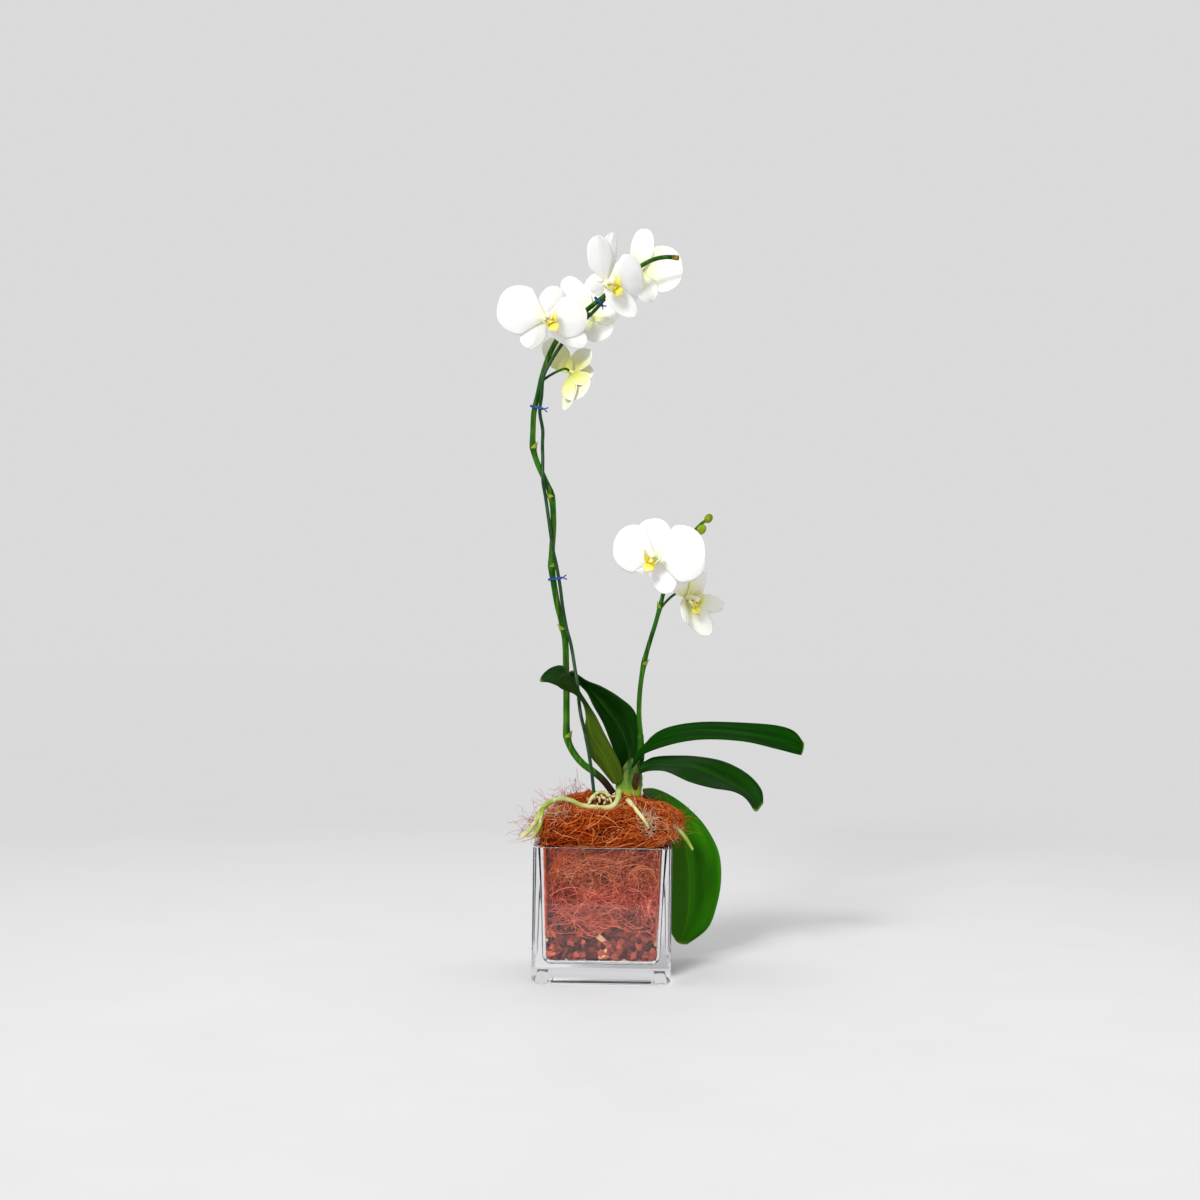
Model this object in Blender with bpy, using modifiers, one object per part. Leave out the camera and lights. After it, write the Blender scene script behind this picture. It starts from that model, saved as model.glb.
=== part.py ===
"""Potted moth orchid: two flower spikes and five leaves in a square glass vase of coir and bark.

Metres, +Z up. The origin is the centre of the vase's flat bottom, -Y is the front.
Stems, leaves, roots and blooms are placed by photograph points: (pixel x, pixel y, depth in mm),
which spot() turns into metres by the view that the photograph was taken from.
"""
import math
import random

import bmesh
import bpy
from mathutils import Matrix, Vector

MM = 0.001
CLEARANCE = 0.3 * MM          # gap kept between separate pieces that touch

# the photograph's view: a level camera in front of the vase
EYE = Vector((-0.0054, -1.75, 0.330))
LENS_PIXELS = 1973.0
MIDDLE_PIXEL = 600.0
LEAN = math.radians(0.8)

# glass vase
VASE_SIDE = 120 * MM
VASE_HEIGHT = 117 * MM
VASE_CORNER = 8 * MM
VASE_FOOT_ROUND = 3 * MM
RIM_ROUND = 1.2 * MM
WALL_AT_RIM = 6 * MM
WALL_AT_FLOOR = 9.5 * MM
GLASS_FLOOR = 16 * MM
CAVITY_CORNER = 7 * MM
CAVITY_FLOOR_ROUND = 8 * MM

# growing medium
BARK_TOP = 48 * MM
BARK_CORE_INSET = 3 * MM
BARK_CORE_DROP = 2 * MM
BARK_CORE_CORNER = 5 * MM
BARK_CORE_TAPER = 0.93
BARK_TO_GLASS = 0.5 * MM
CHIP_SPREAD = 43 * MM         # chips lie this far to both sides of a wall's middle
CHIP_DEPTH = 3.4 * MM         # from the wall to a chip's centre
CHIPS_PER_SIDE = 10
COIR_ARCHES = 20
COIR_STRAYS = 18
STRAND_RADIUS = 0.9 * MM
COIR_GAP = 0.6 * MM           # between coir and glass

# stems and blades
SPIKE_BASE_RADIUS = 3.1 * MM
SPIKE_TIP_RADIUS = 1.9 * MM
SHORT_SPIKE_RADIUS = 2.5 * MM
SHORT_SPIKE_TIP_RADIUS = 1.4 * MM
BRACT_LENGTH = 9 * MM
PEDICEL_RADIUS = 1.25 * MM
PEDICEL_POINTS = 6
PEDICEL_STRAIGHT = 2.5 * MM   # straight stretch behind the bloom
SHEATH_RADII = [3.4 * MM, 4.3 * MM, 3.9 * MM, 2.6 * MM]
STAKE_RADIUS = 1.6 * MM
STAKE_DISTANCE = 5.5 * MM     # between the centres of spike and stake where they run together
ROOT_RADIUS = 2.6 * MM
TIE_WIRE = 0.7 * MM
TIE_SLACK = 0.5 * MM
LEAF_THICKNESS = 1.6 * MM
LEAF_ACROSS = 6                # stretches from margin to margin
TEPAL_THICKNESS = 0.7 * MM
TEPAL_STEPS = 4
LIP_THICKNESS = 0.8 * MM
LIP_FOOT_Y = -3.4              # mm below the column's root, which seats the lip under it
# the lip's middle lobe in mm: height, distance out of the face, half width
LIP_ROWS = [(-4.6, 6.5, 1.6), (-7, 10.6, 4.4), (-10, 12.6, 5.2), (-13.5, 12, 0.9)]
TEPAL_FOOT = 0.8 * MM          # where a tepal's midline starts beside the hub's axis
# claw, the waist near the base as a share of the width, height over the hub and forward bow
TEPAL_KINDS = {"petals": (0.28, 0.6 * MM, 2.0 * MM), "sepals": (0.55, -2.2 * MM, 0.6 * MM)}
HUB_RADIUS = 5 * MM
HUB_BACK = 7 * MM
HUB_PROFILE = [(-7, 0.3), (-4.5, 0.55), (-3, 0.9), (1.5, 1.0), (3.6, 0.5)]

COLOURS = {
    "glass": (0.86, 0.90, 0.90, 0.35),
    "bark": (0.30, 0.06, 0.03, 1),
    "coir": (0.45, 0.09, 0.02, 1),
    "stem": (0.10, 0.30, 0.03, 1),
    "leaf": (0.02, 0.13, 0.01, 1),
    "spike": (0.03, 0.15, 0.01, 1),
    "stake": (0.01, 0.08, 0.01, 1),
    "tie": (0.02, 0.06, 0.30, 1),
    "root": (0.45, 0.55, 0.20, 1),
    "tepal": (0.93, 0.93, 0.88, 1),
    "lip": (0.90, 0.65, 0.03, 1),
}
ROUGHNESS = {"glass": 0.03, "leaf": 0.3, "spike": 0.4, "stake": 0.35, "tie": 0.5}

TALL_SPIKE = [
    (613, 793, 4), (604, 781, 3), (594, 772, 2), (582, 763, 2), (572, 750, 2), (567, 736, 3),
    (566.5, 715, 4), (566.5, 690, 6), (566, 665, 6), (565.5, 645, 5), (563.5, 628, 3),
    (558, 607, 2), (554.5, 588, 1), (551.5, 566, 1), (552, 550, 2), (553.5, 522, 2),
    (551.5, 496, 2), (545, 480, 2), (537, 462, 2), (533, 447, 2), (533, 430, 2), (534, 412, 2),
    (538, 395, 1), (542, 377, 0), (547, 361, 0), (554, 345, 0), (563, 332, 0), (573, 322, 0),
    (583, 313, 0), (593, 305, 0), (603, 297, 0), (613, 289, 0), (624, 280, 0), (635, 270, -1),
    (645, 263.5, -3), (655, 259, -4), (667, 257, -5), (679, 258, -5),
]
TALL_NODES = (5, 10, 13, 16, 19, 33)
STAKE_FOOT = [
    (596, 822, -12), (594, 795, -12), (592, 775, -12), (589.5, 757, -17), (585.5, 735, -20),
    (581, 716, -19), (579, 702, -13), (578, 689, -8), (575.5, 672, -3),
]
# where the stake runs round the spike: pixel y, degrees (0 right, -90 in front), share of distance
STAKE_TURN = [
    (645, -25, 1.0), (628, -60, 1.0), (607, -40, 1.0), (588, -20, 1.0), (566, -35, 1.0),
    (550, -80, 1.0), (522, -135, 1.0), (496, -165, 1.0), (480, -110, 1.0), (462, -20, 1.1),
    (447, -8, 1.6), (430, -8, 1.6), (412, -20, 1.0), (395, -50, 1.0), (377, -75, 1.0),
    (361, -50, 1.0), (345, 0, 1.0), (332, 15, 1.0), (322, 15, 1.0), (313, 0, 1.0),
    (305, -30, 1.0), (297, -60, 1.0),
]
TIE_HEIGHTS = {"tie_lower": 579, "tie_middle": 407, "tie_upper": 301}

SHORT_SPIKE = [
    (634, 782, 7), (638, 768, 9), (640.5, 752, 9), (640.5, 735, 8), (639, 715, 8),
    (640, 690, 8), (644, 663, 7), (650, 641, 6), (655, 625, 6), (660, 607, 6), (664, 591, 7),
    (669, 575, 9), (677, 558, 10), (685, 545, 10), (692, 534, 9), (699, 526, 8), (706, 520, 8),
]
SHORT_NODES = (6, 9)
BUDS = [((701.5, 529.5, 5), 4.0), ((708.5, 518.5, 8), 3.6)]

# leaves: margin, midrib, other margin at each station from the base to the tip
LEAVES = {
    "leaf_upright": [
        ((628, 779, 8.5), (625, 781, 9), (621, 781, 6.5)),
        ((637, 757, 17), (629, 764, 20), (618, 762, 11)),
        ((640, 732, 17), (626, 742, 24), (611, 742, 12)),
        ((634, 711, 15), (616, 721, 24), (603, 722, 12)),
        ((620, 698, 13), (604, 706, 21), (594, 706, 11)),
        ((602, 687, 11), (593, 694, 18), (587, 692, 9)),
        ((586, 680.5, 10), (581, 683, 15), (577, 682, 10)),
        ((572, 670.5, 12), (570, 671.5, 13), (568, 672.5, 12)),
    ],
    "leaf_folded": [
        ((613, 783, -5), (617, 784, -9), (623, 779, -7)),
        ((600, 767, -5), (609, 764, -13), (620, 764, -7)),
        ((590.5, 755, -6), (600, 748, -17), (613, 750, -9)),
        ((584.5, 735, -9), (591, 733, -22), (604.5, 734, -13)),
        ((586.5, 717, -12), (586.8, 715, -26), (596, 717, -19)),
        ((584, 703, -15), (583, 703, -31), (589, 706, -26)),
        ((575, 688, -19), (576, 695, -35), (580, 692, -34)),
        ((567.5, 671, -22), (568, 691, -39), (572, 677, -42)),
        ((561, 665.5, -25), (562, 688.5, -42), (564.5, 673.5, -46)),
        ((552, 667.5, -30), (556, 684.5, -44), (557.5, 679.5, -48)),
        ((545, 672.5, -35), (548, 681.5, -43), (549.5, 680, -46)),
        ((540.5, 678.5, -39), (539.5, 680.5, -41), (541.5, 682, -43)),
    ],
    "leaf_right_upper": [
        ((630, 772, -5), (630, 768, -4), (631, 762, -3)),
        ((640, 757, -8), (641, 752, -4), (643, 746, 0)),
        ((652, 750, -7), (652, 743, 3), (656, 733, 11)),
        ((680, 742, -7), (676, 735, 8), (675, 726, 22)),
        ((710, 739, -7), (706, 732, 11), (703, 722.5, 28)),
        ((745, 741, -6), (743, 734, 13), (740, 723, 32)),
        ((775, 748, -3), (776, 740, 14), (775, 725.5, 30)),
        ((792, 752.5, 2), (796, 745, 14), (794, 731.5, 25)),
        ((801, 755, 9), (804, 750, 13), (804, 743, 16)),
    ],
    "leaf_right_middle": [
        ((634, 777, -4), (635, 772, -1), (636, 767, 0)),
        ((643, 772, -5), (643, 768, -1), (644, 762, 2)),
        ((652, 770, -9), (652, 766, 0), (654, 757.5, 8)),
        ((667, 771.5, -13), (668, 766.5, 1), (672, 756, 15)),
        ((690, 781.5, -16), (691, 767, 3), (698, 757, 20)),
        ((712, 787.5, -16), (714, 776, 4), (724, 762, 21)),
        ((733, 791, -13), (735, 787, 5), (747, 774, 19)),
        ((746, 798, -8), (750, 798, 6), (761, 789, 15)),
        ((754.5, 810, -2), (757, 812, 4), (763.5, 803, 9)),
    ],
    "leaf_drooping": [
        ((643, 795, 8), (644, 793, 14), (643, 788.5, 15)),
        ((648, 801, 20), (652, 795, 26), (654, 788.5, 25)),
        ((654, 811, 38), (663, 804, 44), (669, 794.5, 42)),
        ((658, 825, 57), (675, 818, 60), (687, 807, 56)),
        ((660, 846, 68), (684, 838, 71), (705, 826, 65)),
        ((661, 868, 70), (688, 862, 76), (718.5, 852, 69)),
        ((661, 892, 71), (689.5, 888, 78), (721, 880, 71)),
        ((664, 914, 73), (688, 914, 79), (716, 908, 73)),
        ((670, 930, 76), (684, 932, 80), (707, 929, 76)),
        ((677, 942, 78), (680, 944, 79), (687, 944.5, 78)),
    ],
}

LEFT_ROOT = [
    (619, 790, -12), (618, 799, -17), (613, 806, -20), (604, 808, -20), (592, 807, -19),
    (580, 805, -19), (572, 801, -19), (565, 799, -20), (555, 800, -23), (545, 806, -28),
    (540, 813, -32), (535, 823, -38), (528, 832, -43), (520, 838, -46),
]
LEFT_ROOT_BRANCH = [(543, 809, -30), (541, 819, -35), (539, 828, -41), (535, 834, -46), (532, 838, -49)]
LOOP_ROOT = [(588, 806, -19), (592, 797, -18), (600, 792, -15), (608, 795, -16), (612, 804, -19)]
RIGHT_ROOT = [(650, 819, -22), (660, 822, -30), (670, 825, -36), (679, 830, -39), (687, 840, -40), (693, 850, -40)]
SILVER_ROOT = [(630, 801, -9), (636, 807, -15), (643, 818, -22), (651, 828, -27), (656, 836, -28)]

# blooms: hub point, facing direction, roll of the lip in degrees clockwise, and the pixel height
# of the joint on the spike; each tepal by its tip's point, width in mm and lean round its own
# midline in degrees
BLOOMS = {
    "bloom_1": dict(
        hub=(546, 318, -20), face=(0.30, -0.94, -0.10), roll=-30, spike="tall", joint=338,
        petals=[((498.5, 303, -32), 43, 0), ((587, 317, -10), 36, 0)],
        sepals=[((560, 288, -16), 25, 0), ((525, 347, -20), 22, 0), ((586, 344, -5), 22, 0)]),
    "bloom_2": dict(
        hub=(573, 374, 10), face=(0.55, 0.75, -0.35), roll=-6, spike="tall", joint=382,
        petals=[((588, 349, 12), 33, -15), ((567, 410, 2), 24, 25)],
        sepals=[((546, 341, 26), 22, 0), ((582, 397, -4), 31, 0), ((592, 378, 4), 25, -20)]),
    "bloom_3": dict(
        hub=(592, 319, 24), face=(0.12, 0.94, -0.30), roll=50, spike="tall", joint=316,
        petals=[((600, 274, 37), 27, 0), ((566, 330, 28), 26, 0)],
        sepals=[((565, 278, 38), 22, 0), ((605, 339, 17), 29, 0), ((618, 311, 24), 23, 0)]),
    "bloom_4": dict(
        hub=(606, 283, -26), face=(0.64, -0.75, -0.15), roll=-45, spike="tall", joint=292,
        petals=[((596, 236, -42), 28, 0), ((642, 281, -12), 49, 15)],
        sepals=[((613, 233, -26), 19, 0), ((635, 316, -12), 20, 20), ((592, 292, -25), 15, 0)]),
    "bloom_5": dict(
        hub=(640, 272, 22), face=(0.15, 0.97, -0.05), roll=-12, spike="tall", joint=270,
        petals=[((682.5, 267, 17), 42, 0), ((613, 277, 27), 28, 0)],
        sepals=[((645, 229, 25), 21, 0), ((651, 302, 19), 21, 0), ((628, 300, 26), 18, 0)]),
    "bloom_6": dict(
        hub=(655, 556, -18), face=(-0.30, -0.93, -0.15), roll=20, spike="short", joint=577,
        petals=[((614, 543, -8), 43, 0), ((705, 553, -32), 51, 0)],
        sepals=[((651, 519, -17), 33, 0), ((668, 593, -13), 25, 0), ((637, 571, -9), 14, 0)]),
    "bloom_7": dict(
        hub=(688, 597, 20), face=(0.70, -0.60, -0.35), roll=-25, spike="short", joint=610,
        petals=[((706, 572, 32), 31, 0), ((723, 609, 44), 19, 20)],
        sepals=[((680, 576, 4), 20, 0), ((687, 624, 8), 19, 0), ((710, 634, 34), 24, 0)]),
}


def spot(point):
    """The place in metres of a photograph point (pixel x, pixel y, depth in mm)."""
    reach = (point[2] * MM - EYE.y) / LENS_PIXELS
    across = point[0] - MIDDLE_PIXEL
    up = MIDDLE_PIXEL - point[1]
    u = across * math.cos(LEAN) - up * math.sin(LEAN)
    v = across * math.sin(LEAN) + up * math.cos(LEAN)
    return Vector((EYE.x + u * reach, point[2] * MM, EYE.z + v * reach))


def spots(points):
    return [spot(p) for p in points]


def smooth(points, steps):
    """Points on a smooth curve through the given ones, `steps` to each stretch."""
    last = len(points) - 1
    out = []
    for i in range(last):
        a = points[max(i - 1, 0)]
        b, c = points[i], points[i + 1]
        d = points[min(i + 2, last)]
        for k in range(steps):
            t = k / steps
            bend = (2 * a - 5 * b + 4 * c - d) * t * t + (3 * b - a - 3 * c + d) * t ** 3
            out.append(0.5 * (2 * b + (c - a) * t + bend))
    out.append(points[-1])
    return out


def clear_scene():
    for obj in list(bpy.data.objects):
        bpy.data.objects.remove(obj, do_unlink=True)


def new_collection(name):
    made = bpy.data.collections.new(name)
    bpy.context.scene.collection.children.link(made)
    return made


def add_object(name, mesh, collection):
    obj = bpy.data.objects.new(name, mesh)
    collection.objects.link(obj)
    return obj


def finish_look(obj, finish):
    """Give a piece its own material in one of the object's finishes."""
    mat = bpy.data.materials.new(obj.name)
    mat.use_nodes = True
    shader = mat.node_tree.nodes["Principled BSDF"]
    shader.inputs["Base Color"].default_value = COLOURS[finish]
    shader.inputs["Roughness"].default_value = ROUGHNESS.get(finish, 0.6)
    shader.inputs["Metallic"].default_value = 0
    if finish == "glass":
        shader.inputs["Transmission Weight"].default_value = 1
    obj.data.materials.clear()
    obj.data.materials.append(mat)
    obj.data.shade_smooth()
    obj.data.set_sharp_from_angle(angle=math.radians(40))


def bake(obj):
    """Apply an object's modifiers to its mesh."""
    graph = bpy.context.evaluated_depsgraph_get()
    mesh = bpy.data.meshes.new_from_object(obj.evaluated_get(graph))
    obj.modifiers.clear()
    obj.data = mesh


def tube(name, points, radii, collection, resolution=2, closed=False):
    """A tube along points, or round them; radii is one radius or one for each point."""
    if not isinstance(radii, (list, tuple)):
        radii = [radii] * len(points)
    curve = bpy.data.curves.new(name, "CURVE")
    curve.dimensions = "3D"
    curve.bevel_depth = MM
    curve.bevel_resolution = resolution
    curve.use_fill_caps = True
    spline = curve.splines.new("POLY")
    spline.points.add(len(points) - 1)
    spline.use_cyclic_u = closed
    for knot, place, radius in zip(spline.points, points, radii):
        knot.co = (*place, 1)
        knot.radius = radius / MM
    source = add_object(name + "_curve", curve, collection)
    graph = bpy.context.evaluated_depsgraph_get()
    mesh = bpy.data.meshes.new_from_object(source.evaluated_get(graph))
    bpy.data.objects.remove(source, do_unlink=True)
    weld(mesh)
    return add_object(name, mesh, collection)


def weld(mesh):
    work = bmesh.new()
    work.from_mesh(mesh)
    bmesh.ops.remove_doubles(work, verts=work.verts, dist=0.00001)
    bmesh.ops.recalc_face_normals(work, faces=work.faces)
    work.to_mesh(mesh)
    work.free()


def loft(name, rings, collection):
    """A closed solid through rings of equal count, capped at both ends."""
    work = bmesh.new()
    rows = [[work.verts.new(p) for p in ring] for ring in rings]
    count = len(rows[0])
    for low, high in zip(rows, rows[1:]):
        for i in range(count):
            j = (i + 1) % count
            work.faces.new((low[i], low[j], high[j], high[i]))
    work.faces.new(reversed(rows[0]))
    work.faces.new(rows[-1])
    bmesh.ops.triangulate(work, faces=work.faces)
    bmesh.ops.recalc_face_normals(work, faces=work.faces)
    mesh = bpy.data.meshes.new(name)
    work.to_mesh(mesh)
    work.free()
    return add_object(name, mesh, collection)


def blade(name, rows, thickness, collection):
    """A thin waved sheet through rows of points, triangulated alike on both faces."""
    work = bmesh.new()
    grid = [[work.verts.new(p) for p in row] for row in rows]
    for low, high in zip(grid, grid[1:]):
        for i in range(len(low) - 1):
            work.faces.new((low[i], low[i + 1], high[i + 1], high[i]))
    bmesh.ops.triangulate(work, faces=work.faces)
    mesh = bpy.data.meshes.new(name)
    work.to_mesh(mesh)
    work.free()
    obj = add_object(name, mesh, collection)
    solid = obj.modifiers.new("thickness", "SOLIDIFY")
    solid.thickness = thickness
    solid.offset = 0
    bake(obj)
    return obj


def ball(name, centre, radii, collection, turn=None, subdivisions=1):
    """An icosphere squashed to three radii, turned and placed."""
    work = bmesh.new()
    bmesh.ops.create_icosphere(work, subdivisions=subdivisions, radius=1)
    matrix = Matrix.Translation(centre) @ (turn or Matrix()) @ Matrix.Diagonal((*radii, 1))
    bmesh.ops.transform(work, matrix=matrix, verts=work.verts)
    mesh = bpy.data.meshes.new(name)
    work.to_mesh(mesh)
    work.free()
    return add_object(name, mesh, collection)


def combine(name, pieces, collection, operation="UNION", solver="MANIFOLD"):
    """Join the rest of the pieces to the first, or cut them from it, and remove them."""
    first, rest = pieces[0], pieces[1:]
    group = bpy.data.collections.new("group")
    bpy.context.scene.collection.children.link(group)
    for piece in rest:
        for home in list(piece.users_collection):
            home.objects.unlink(piece)
        group.objects.link(piece)
    step = first.modifiers.new("join", "BOOLEAN")
    step.operation = operation
    step.solver = solver
    step.operand_type = "COLLECTION"
    step.collection = group
    bake(first)
    for piece in list(group.objects):
        bpy.data.objects.remove(piece, do_unlink=True)
    bpy.data.collections.remove(group)
    for home in list(first.users_collection):
        home.objects.unlink(first)
    collection.objects.link(first)
    first.name = name
    return first


def keep_largest(obj):
    """Drop loose scraps: only the island with the most faces stays."""
    work = bmesh.new()
    work.from_mesh(obj.data)
    left = set(work.verts)
    islands = []
    while left:
        front = [left.pop()]
        island = set(front)
        while front:
            vert = front.pop()
            for edge in vert.link_edges:
                other = edge.other_vert(vert)
                if other in left:
                    left.discard(other)
                    island.add(other)
                    front.append(other)
        islands.append(island)
    islands.sort(key=len)
    loose = [v for island in islands[:-1] for v in island]
    bmesh.ops.delete(work, geom=loose, context="VERTS")
    work.to_mesh(obj.data)
    work.free()


def box(name, size, bevels, top_scale, base, collection):
    """A cube primitive of a size, standing on height base, its foot narrowed, edges rounded."""
    work = bmesh.new()
    bmesh.ops.create_cube(work, size=1)
    for vert in work.verts:
        narrow = 1 if vert.co.z > 0 else top_scale
        vert.co = Vector((vert.co.x * size[0] * narrow, vert.co.y * size[1] * narrow,
                          base + (vert.co.z + 0.5) * size[2]))
    for pick, width, segments in bevels:
        edges = [e for e in work.edges if pick(e)]
        bmesh.ops.bevel(work, geom=edges, offset=width, segments=segments, profile=0.5,
                        affect="EDGES")
    mesh = bpy.data.meshes.new(name)
    work.to_mesh(mesh)
    work.free()
    return add_object(name, mesh, collection)


def upright(edge):
    a, b = edge.verts
    return abs(a.co.z - b.co.z) > 0.5 * max((a.co - b.co).length, 1e-9)


def at_foot(edge):
    """Edges of the lowest face."""
    low = min(v.co.z for f in edge.link_faces for v in f.verts)
    return all(abs(v.co.z - low) < 1e-6 for v in edge.verts) and not upright(edge)


def cavity_half(height, inset=0.0):
    """Half the width of the vase's inside at a height, less an inset."""
    share = (height - GLASS_FLOOR) / (VASE_HEIGHT - GLASS_FLOOR)
    wall = WALL_AT_FLOOR + (WALL_AT_RIM - WALL_AT_FLOOR) * share
    return VASE_SIDE / 2 - wall - inset


def make_vase(parts, cutters):
    vase = box("glass_vase", (VASE_SIDE, VASE_SIDE, VASE_HEIGHT),
               [(upright, VASE_CORNER, 4), (at_foot, VASE_FOOT_ROUND, 2)], 1.0, 0.0, parts)
    over = 10 * MM
    height = VASE_HEIGHT - GLASS_FLOOR + over
    top = 2 * cavity_half(VASE_HEIGHT + over)
    foot = cavity_half(GLASS_FLOOR) / cavity_half(VASE_HEIGHT + over)
    hollow = box("vase_hollow", (top, top, height),
                 [(upright, CAVITY_CORNER, 4), (at_foot, CAVITY_FLOOR_ROUND, 3)],
                 foot, GLASS_FLOOR, cutters)
    hollow.hide_render = True
    hollow.display_type = "WIRE"
    cut = vase.modifiers.new("hollow", "BOOLEAN")
    cut.operation = "DIFFERENCE"
    cut.object = hollow
    rim = vase.modifiers.new("rim", "BEVEL")
    rim.width = RIM_ROUND
    rim.segments = 2
    rim.limit_method = "ANGLE"
    rim.angle_limit = math.radians(60)
    bake(vase)
    finish_look(vase, "glass")


def make_bark(parts):
    """A bed of chips on the glass floor, lying against the walls."""
    rng = random.Random(7)
    low = GLASS_FLOOR + CLEARANCE
    core_side = 2 * cavity_half(BARK_TOP, BARK_CORE_INSET)
    core = box("bark_chips", (core_side, core_side, BARK_TOP - BARK_CORE_DROP - low),
               [(upright, BARK_CORE_CORNER, 2)], BARK_CORE_TAPER, low, parts)
    pieces = [core]
    for side in range(4):
        turn = Matrix.Rotation(side * math.pi / 2, 4, "Z")
        for i in range(CHIPS_PER_SIDE):
            along = CHIP_SPREAD * (2 * (i + 0.5 + rng.uniform(-0.3, 0.3)) / CHIPS_PER_SIDE - 1)
            height = low + (5 + 10 * (i % 3) + rng.uniform(-2, 2)) * MM
            out = cavity_half(height) - CHIP_DEPTH
            spin = Matrix.Rotation(rng.uniform(-0.6, 0.6), 4, "Y")
            spin = spin @ Matrix.Rotation(rng.uniform(-0.25, 0.25), 4, "Z")
            size = (rng.uniform(11, 15) * MM, rng.uniform(7, 9) * MM, rng.uniform(8, 11) * MM)
            chip = box("chip", size, [], rng.uniform(0.6, 0.9), -size[2] / 2, parts)
            place = Matrix.Translation((along, -out, height)) @ spin
            chip.data.transform(turn @ place)
            pieces.append(chip)
    bark = combine("bark_chips", pieces, parts)
    room_half = cavity_half(BARK_TOP, BARK_TO_GLASS)
    room = box("room", (2 * room_half, 2 * room_half, BARK_TOP - low),
               [(upright, CAVITY_CORNER, 3), (at_foot, CAVITY_FLOOR_ROUND, 3)],
               cavity_half(low, BARK_TO_GLASS) / room_half, low, parts)
    bark = combine("bark_chips", [bark, room], parts, "INTERSECT")
    keep_largest(bark)
    finish_look(bark, "bark")


def rounded_ring(z, x0, x1, y0, y1, count=16):
    """A ring between a square and an ellipse, with soft corners."""
    ring = []
    for i in range(count):
        a = 2 * math.pi * (i + 0.5) / count
        c, s = math.cos(a), math.sin(a)
        reach = (abs(c) ** 5 + abs(s) ** 5) ** (-1 / 5)
        x = (x0 + x1) / 2 + (x1 - x0) / 2 * c * reach
        y = (y0 + y1) / 2 + (y1 - y0) / 2 * s * reach
        ring.append(Vector((x, y, z)) * MM)
    return ring


# the coir's body: height, left, right, front and back in mm
COIR_RINGS = [
    (48.3, -50, 50, -50, 50), (80, -51.2, 51.2, -51.2, 51.2), (116, -52.9, 52.9, -52.9, 52.9),
    (119.5, -54, 56, -54.5, 54), (125, -55, 66, -54, 53), (132, -53, 71, -50, 50),
    (141, -47, 70, -43, 45), (149, -38, 62, -32, 38), (154, -27, 50, -21, 29), (157, -9, 30, -8, 14),
]


def dome_point(angle, share):
    """A point on the coir dome and its outward direction; share 0 at the rim, 1 on top."""
    rows = [rounded_ring(*row) for row in COIR_RINGS[3:]]
    level = share * (len(rows) - 1.001)
    low = int(level)
    t = level - low
    count = len(rows[0])
    i = int(angle / (2 * math.pi) * count) % count
    place = rows[low][i].lerp(rows[low + 1][i], t)
    middle = Vector((8 * MM, 0, 125 * MM))
    return place, (place - middle).normalized()


def coir_strand(rng, kind, collection):
    """A stiff curved fibre: an arch with both ends in the body, or a stray with a free end."""
    if kind == "arch":
        angle, share = rng.uniform(0, 2 * math.pi), rng.uniform(0.15, 0.95)
    else:
        angle = rng.choice([math.pi, 0.0]) + rng.gauss(0, 0.55)
        share = rng.uniform(0.15, 0.8)
    start, out = dome_point(angle % (2 * math.pi), share)
    side = out.cross(Vector((rng.uniform(-1, 1), rng.uniform(-1, 1), rng.uniform(0.2, 1)))).normalized()
    span = rng.uniform(9, 16) * MM
    lift = rng.uniform(3, 6) * MM
    if kind == "arch":
        offsets = [(-1, -4 * MM), (-0.4, lift), (0.5, lift), (1.1, -4 * MM)]
    else:
        offsets = [(-0.4, -4 * MM), (0, lift), (0.7, lift * 2.2), (1.7, lift * 2.6)]
    points = [start + side * span * s + out * h for s, h in offsets]
    rings = []
    for place, size in zip(points, (1.3, 1.2, 1.0, 0.6)):
        reach = STRAND_RADIUS * size
        angles = [2 * math.pi * k / 3 for k in range(3)]
        rings.append([place + (out * math.sin(a) + out.cross(side) * math.cos(a)) * reach for a in angles])
    return loft("strand", rings, collection)


def coir_room(collection):
    """The space that coir may fill: inside the glass, and anywhere above its rim."""
    rows = []
    for height in (47, 60, VASE_HEIGHT / MM + 0.4):
        half = cavity_half(height * MM, COIR_GAP) / MM
        rows.append((height, -half, half, -half, half))
    rows += [(VASE_HEIGHT / MM + 0.5, -95, 95, -95, 95), (180, -95, 95, -95, 95)]
    return loft("room", [rounded_ring(*row) for row in rows], collection)


def make_coir(parts, neighbours):
    """Coir from the bark up to a dome over the rim, open in plain holes round what stands in it."""
    rng = random.Random(11)
    body = loft("coir_fibre", [rounded_ring(*row) for row in COIR_RINGS], parts)
    strands = [coir_strand(rng, "arch", parts) for _ in range(COIR_ARCHES)]
    strands += [coir_strand(rng, "stray", parts) for _ in range(COIR_STRAYS)]
    coir = combine("coir_fibre", [body] + strands, parts)
    coir = combine("coir_fibre", [coir, coir_room(parts)], parts, "INTERSECT")
    coir = combine("coir_fibre", [coir] + neighbours, parts, "DIFFERENCE")
    keep_largest(coir)
    finish_look(coir, "coir")


def spike_radii(count, base, tip, nodes):
    """Radii along a spike: tapering, a little thicker at its nodes."""
    out = []
    for i in range(count):
        radius = base + (tip - base) * i / (count - 1)
        out.append(radius * (1.22 if i in nodes else 1.0))
    return out


def bract(name, path, index, radius, collection):
    """A short pointed scale that hugs the stem above a node."""
    at = path[index]
    along = (path[index + 1] - at).normalized()
    side = along.cross(Vector((0, 1, 0))).normalized()
    side = side if index % 2 else -side
    tip = at + along * BRACT_LENGTH + side * (radius + 1.3 * MM)
    root = at - along * 1 * MM + side * radius * 0.35
    return tube(name, [root, root.lerp(tip, 0.5) + side * 0.5 * MM, tip],
                [radius * 0.85, radius * 0.6, 0.4 * MM], collection, 1)


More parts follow.
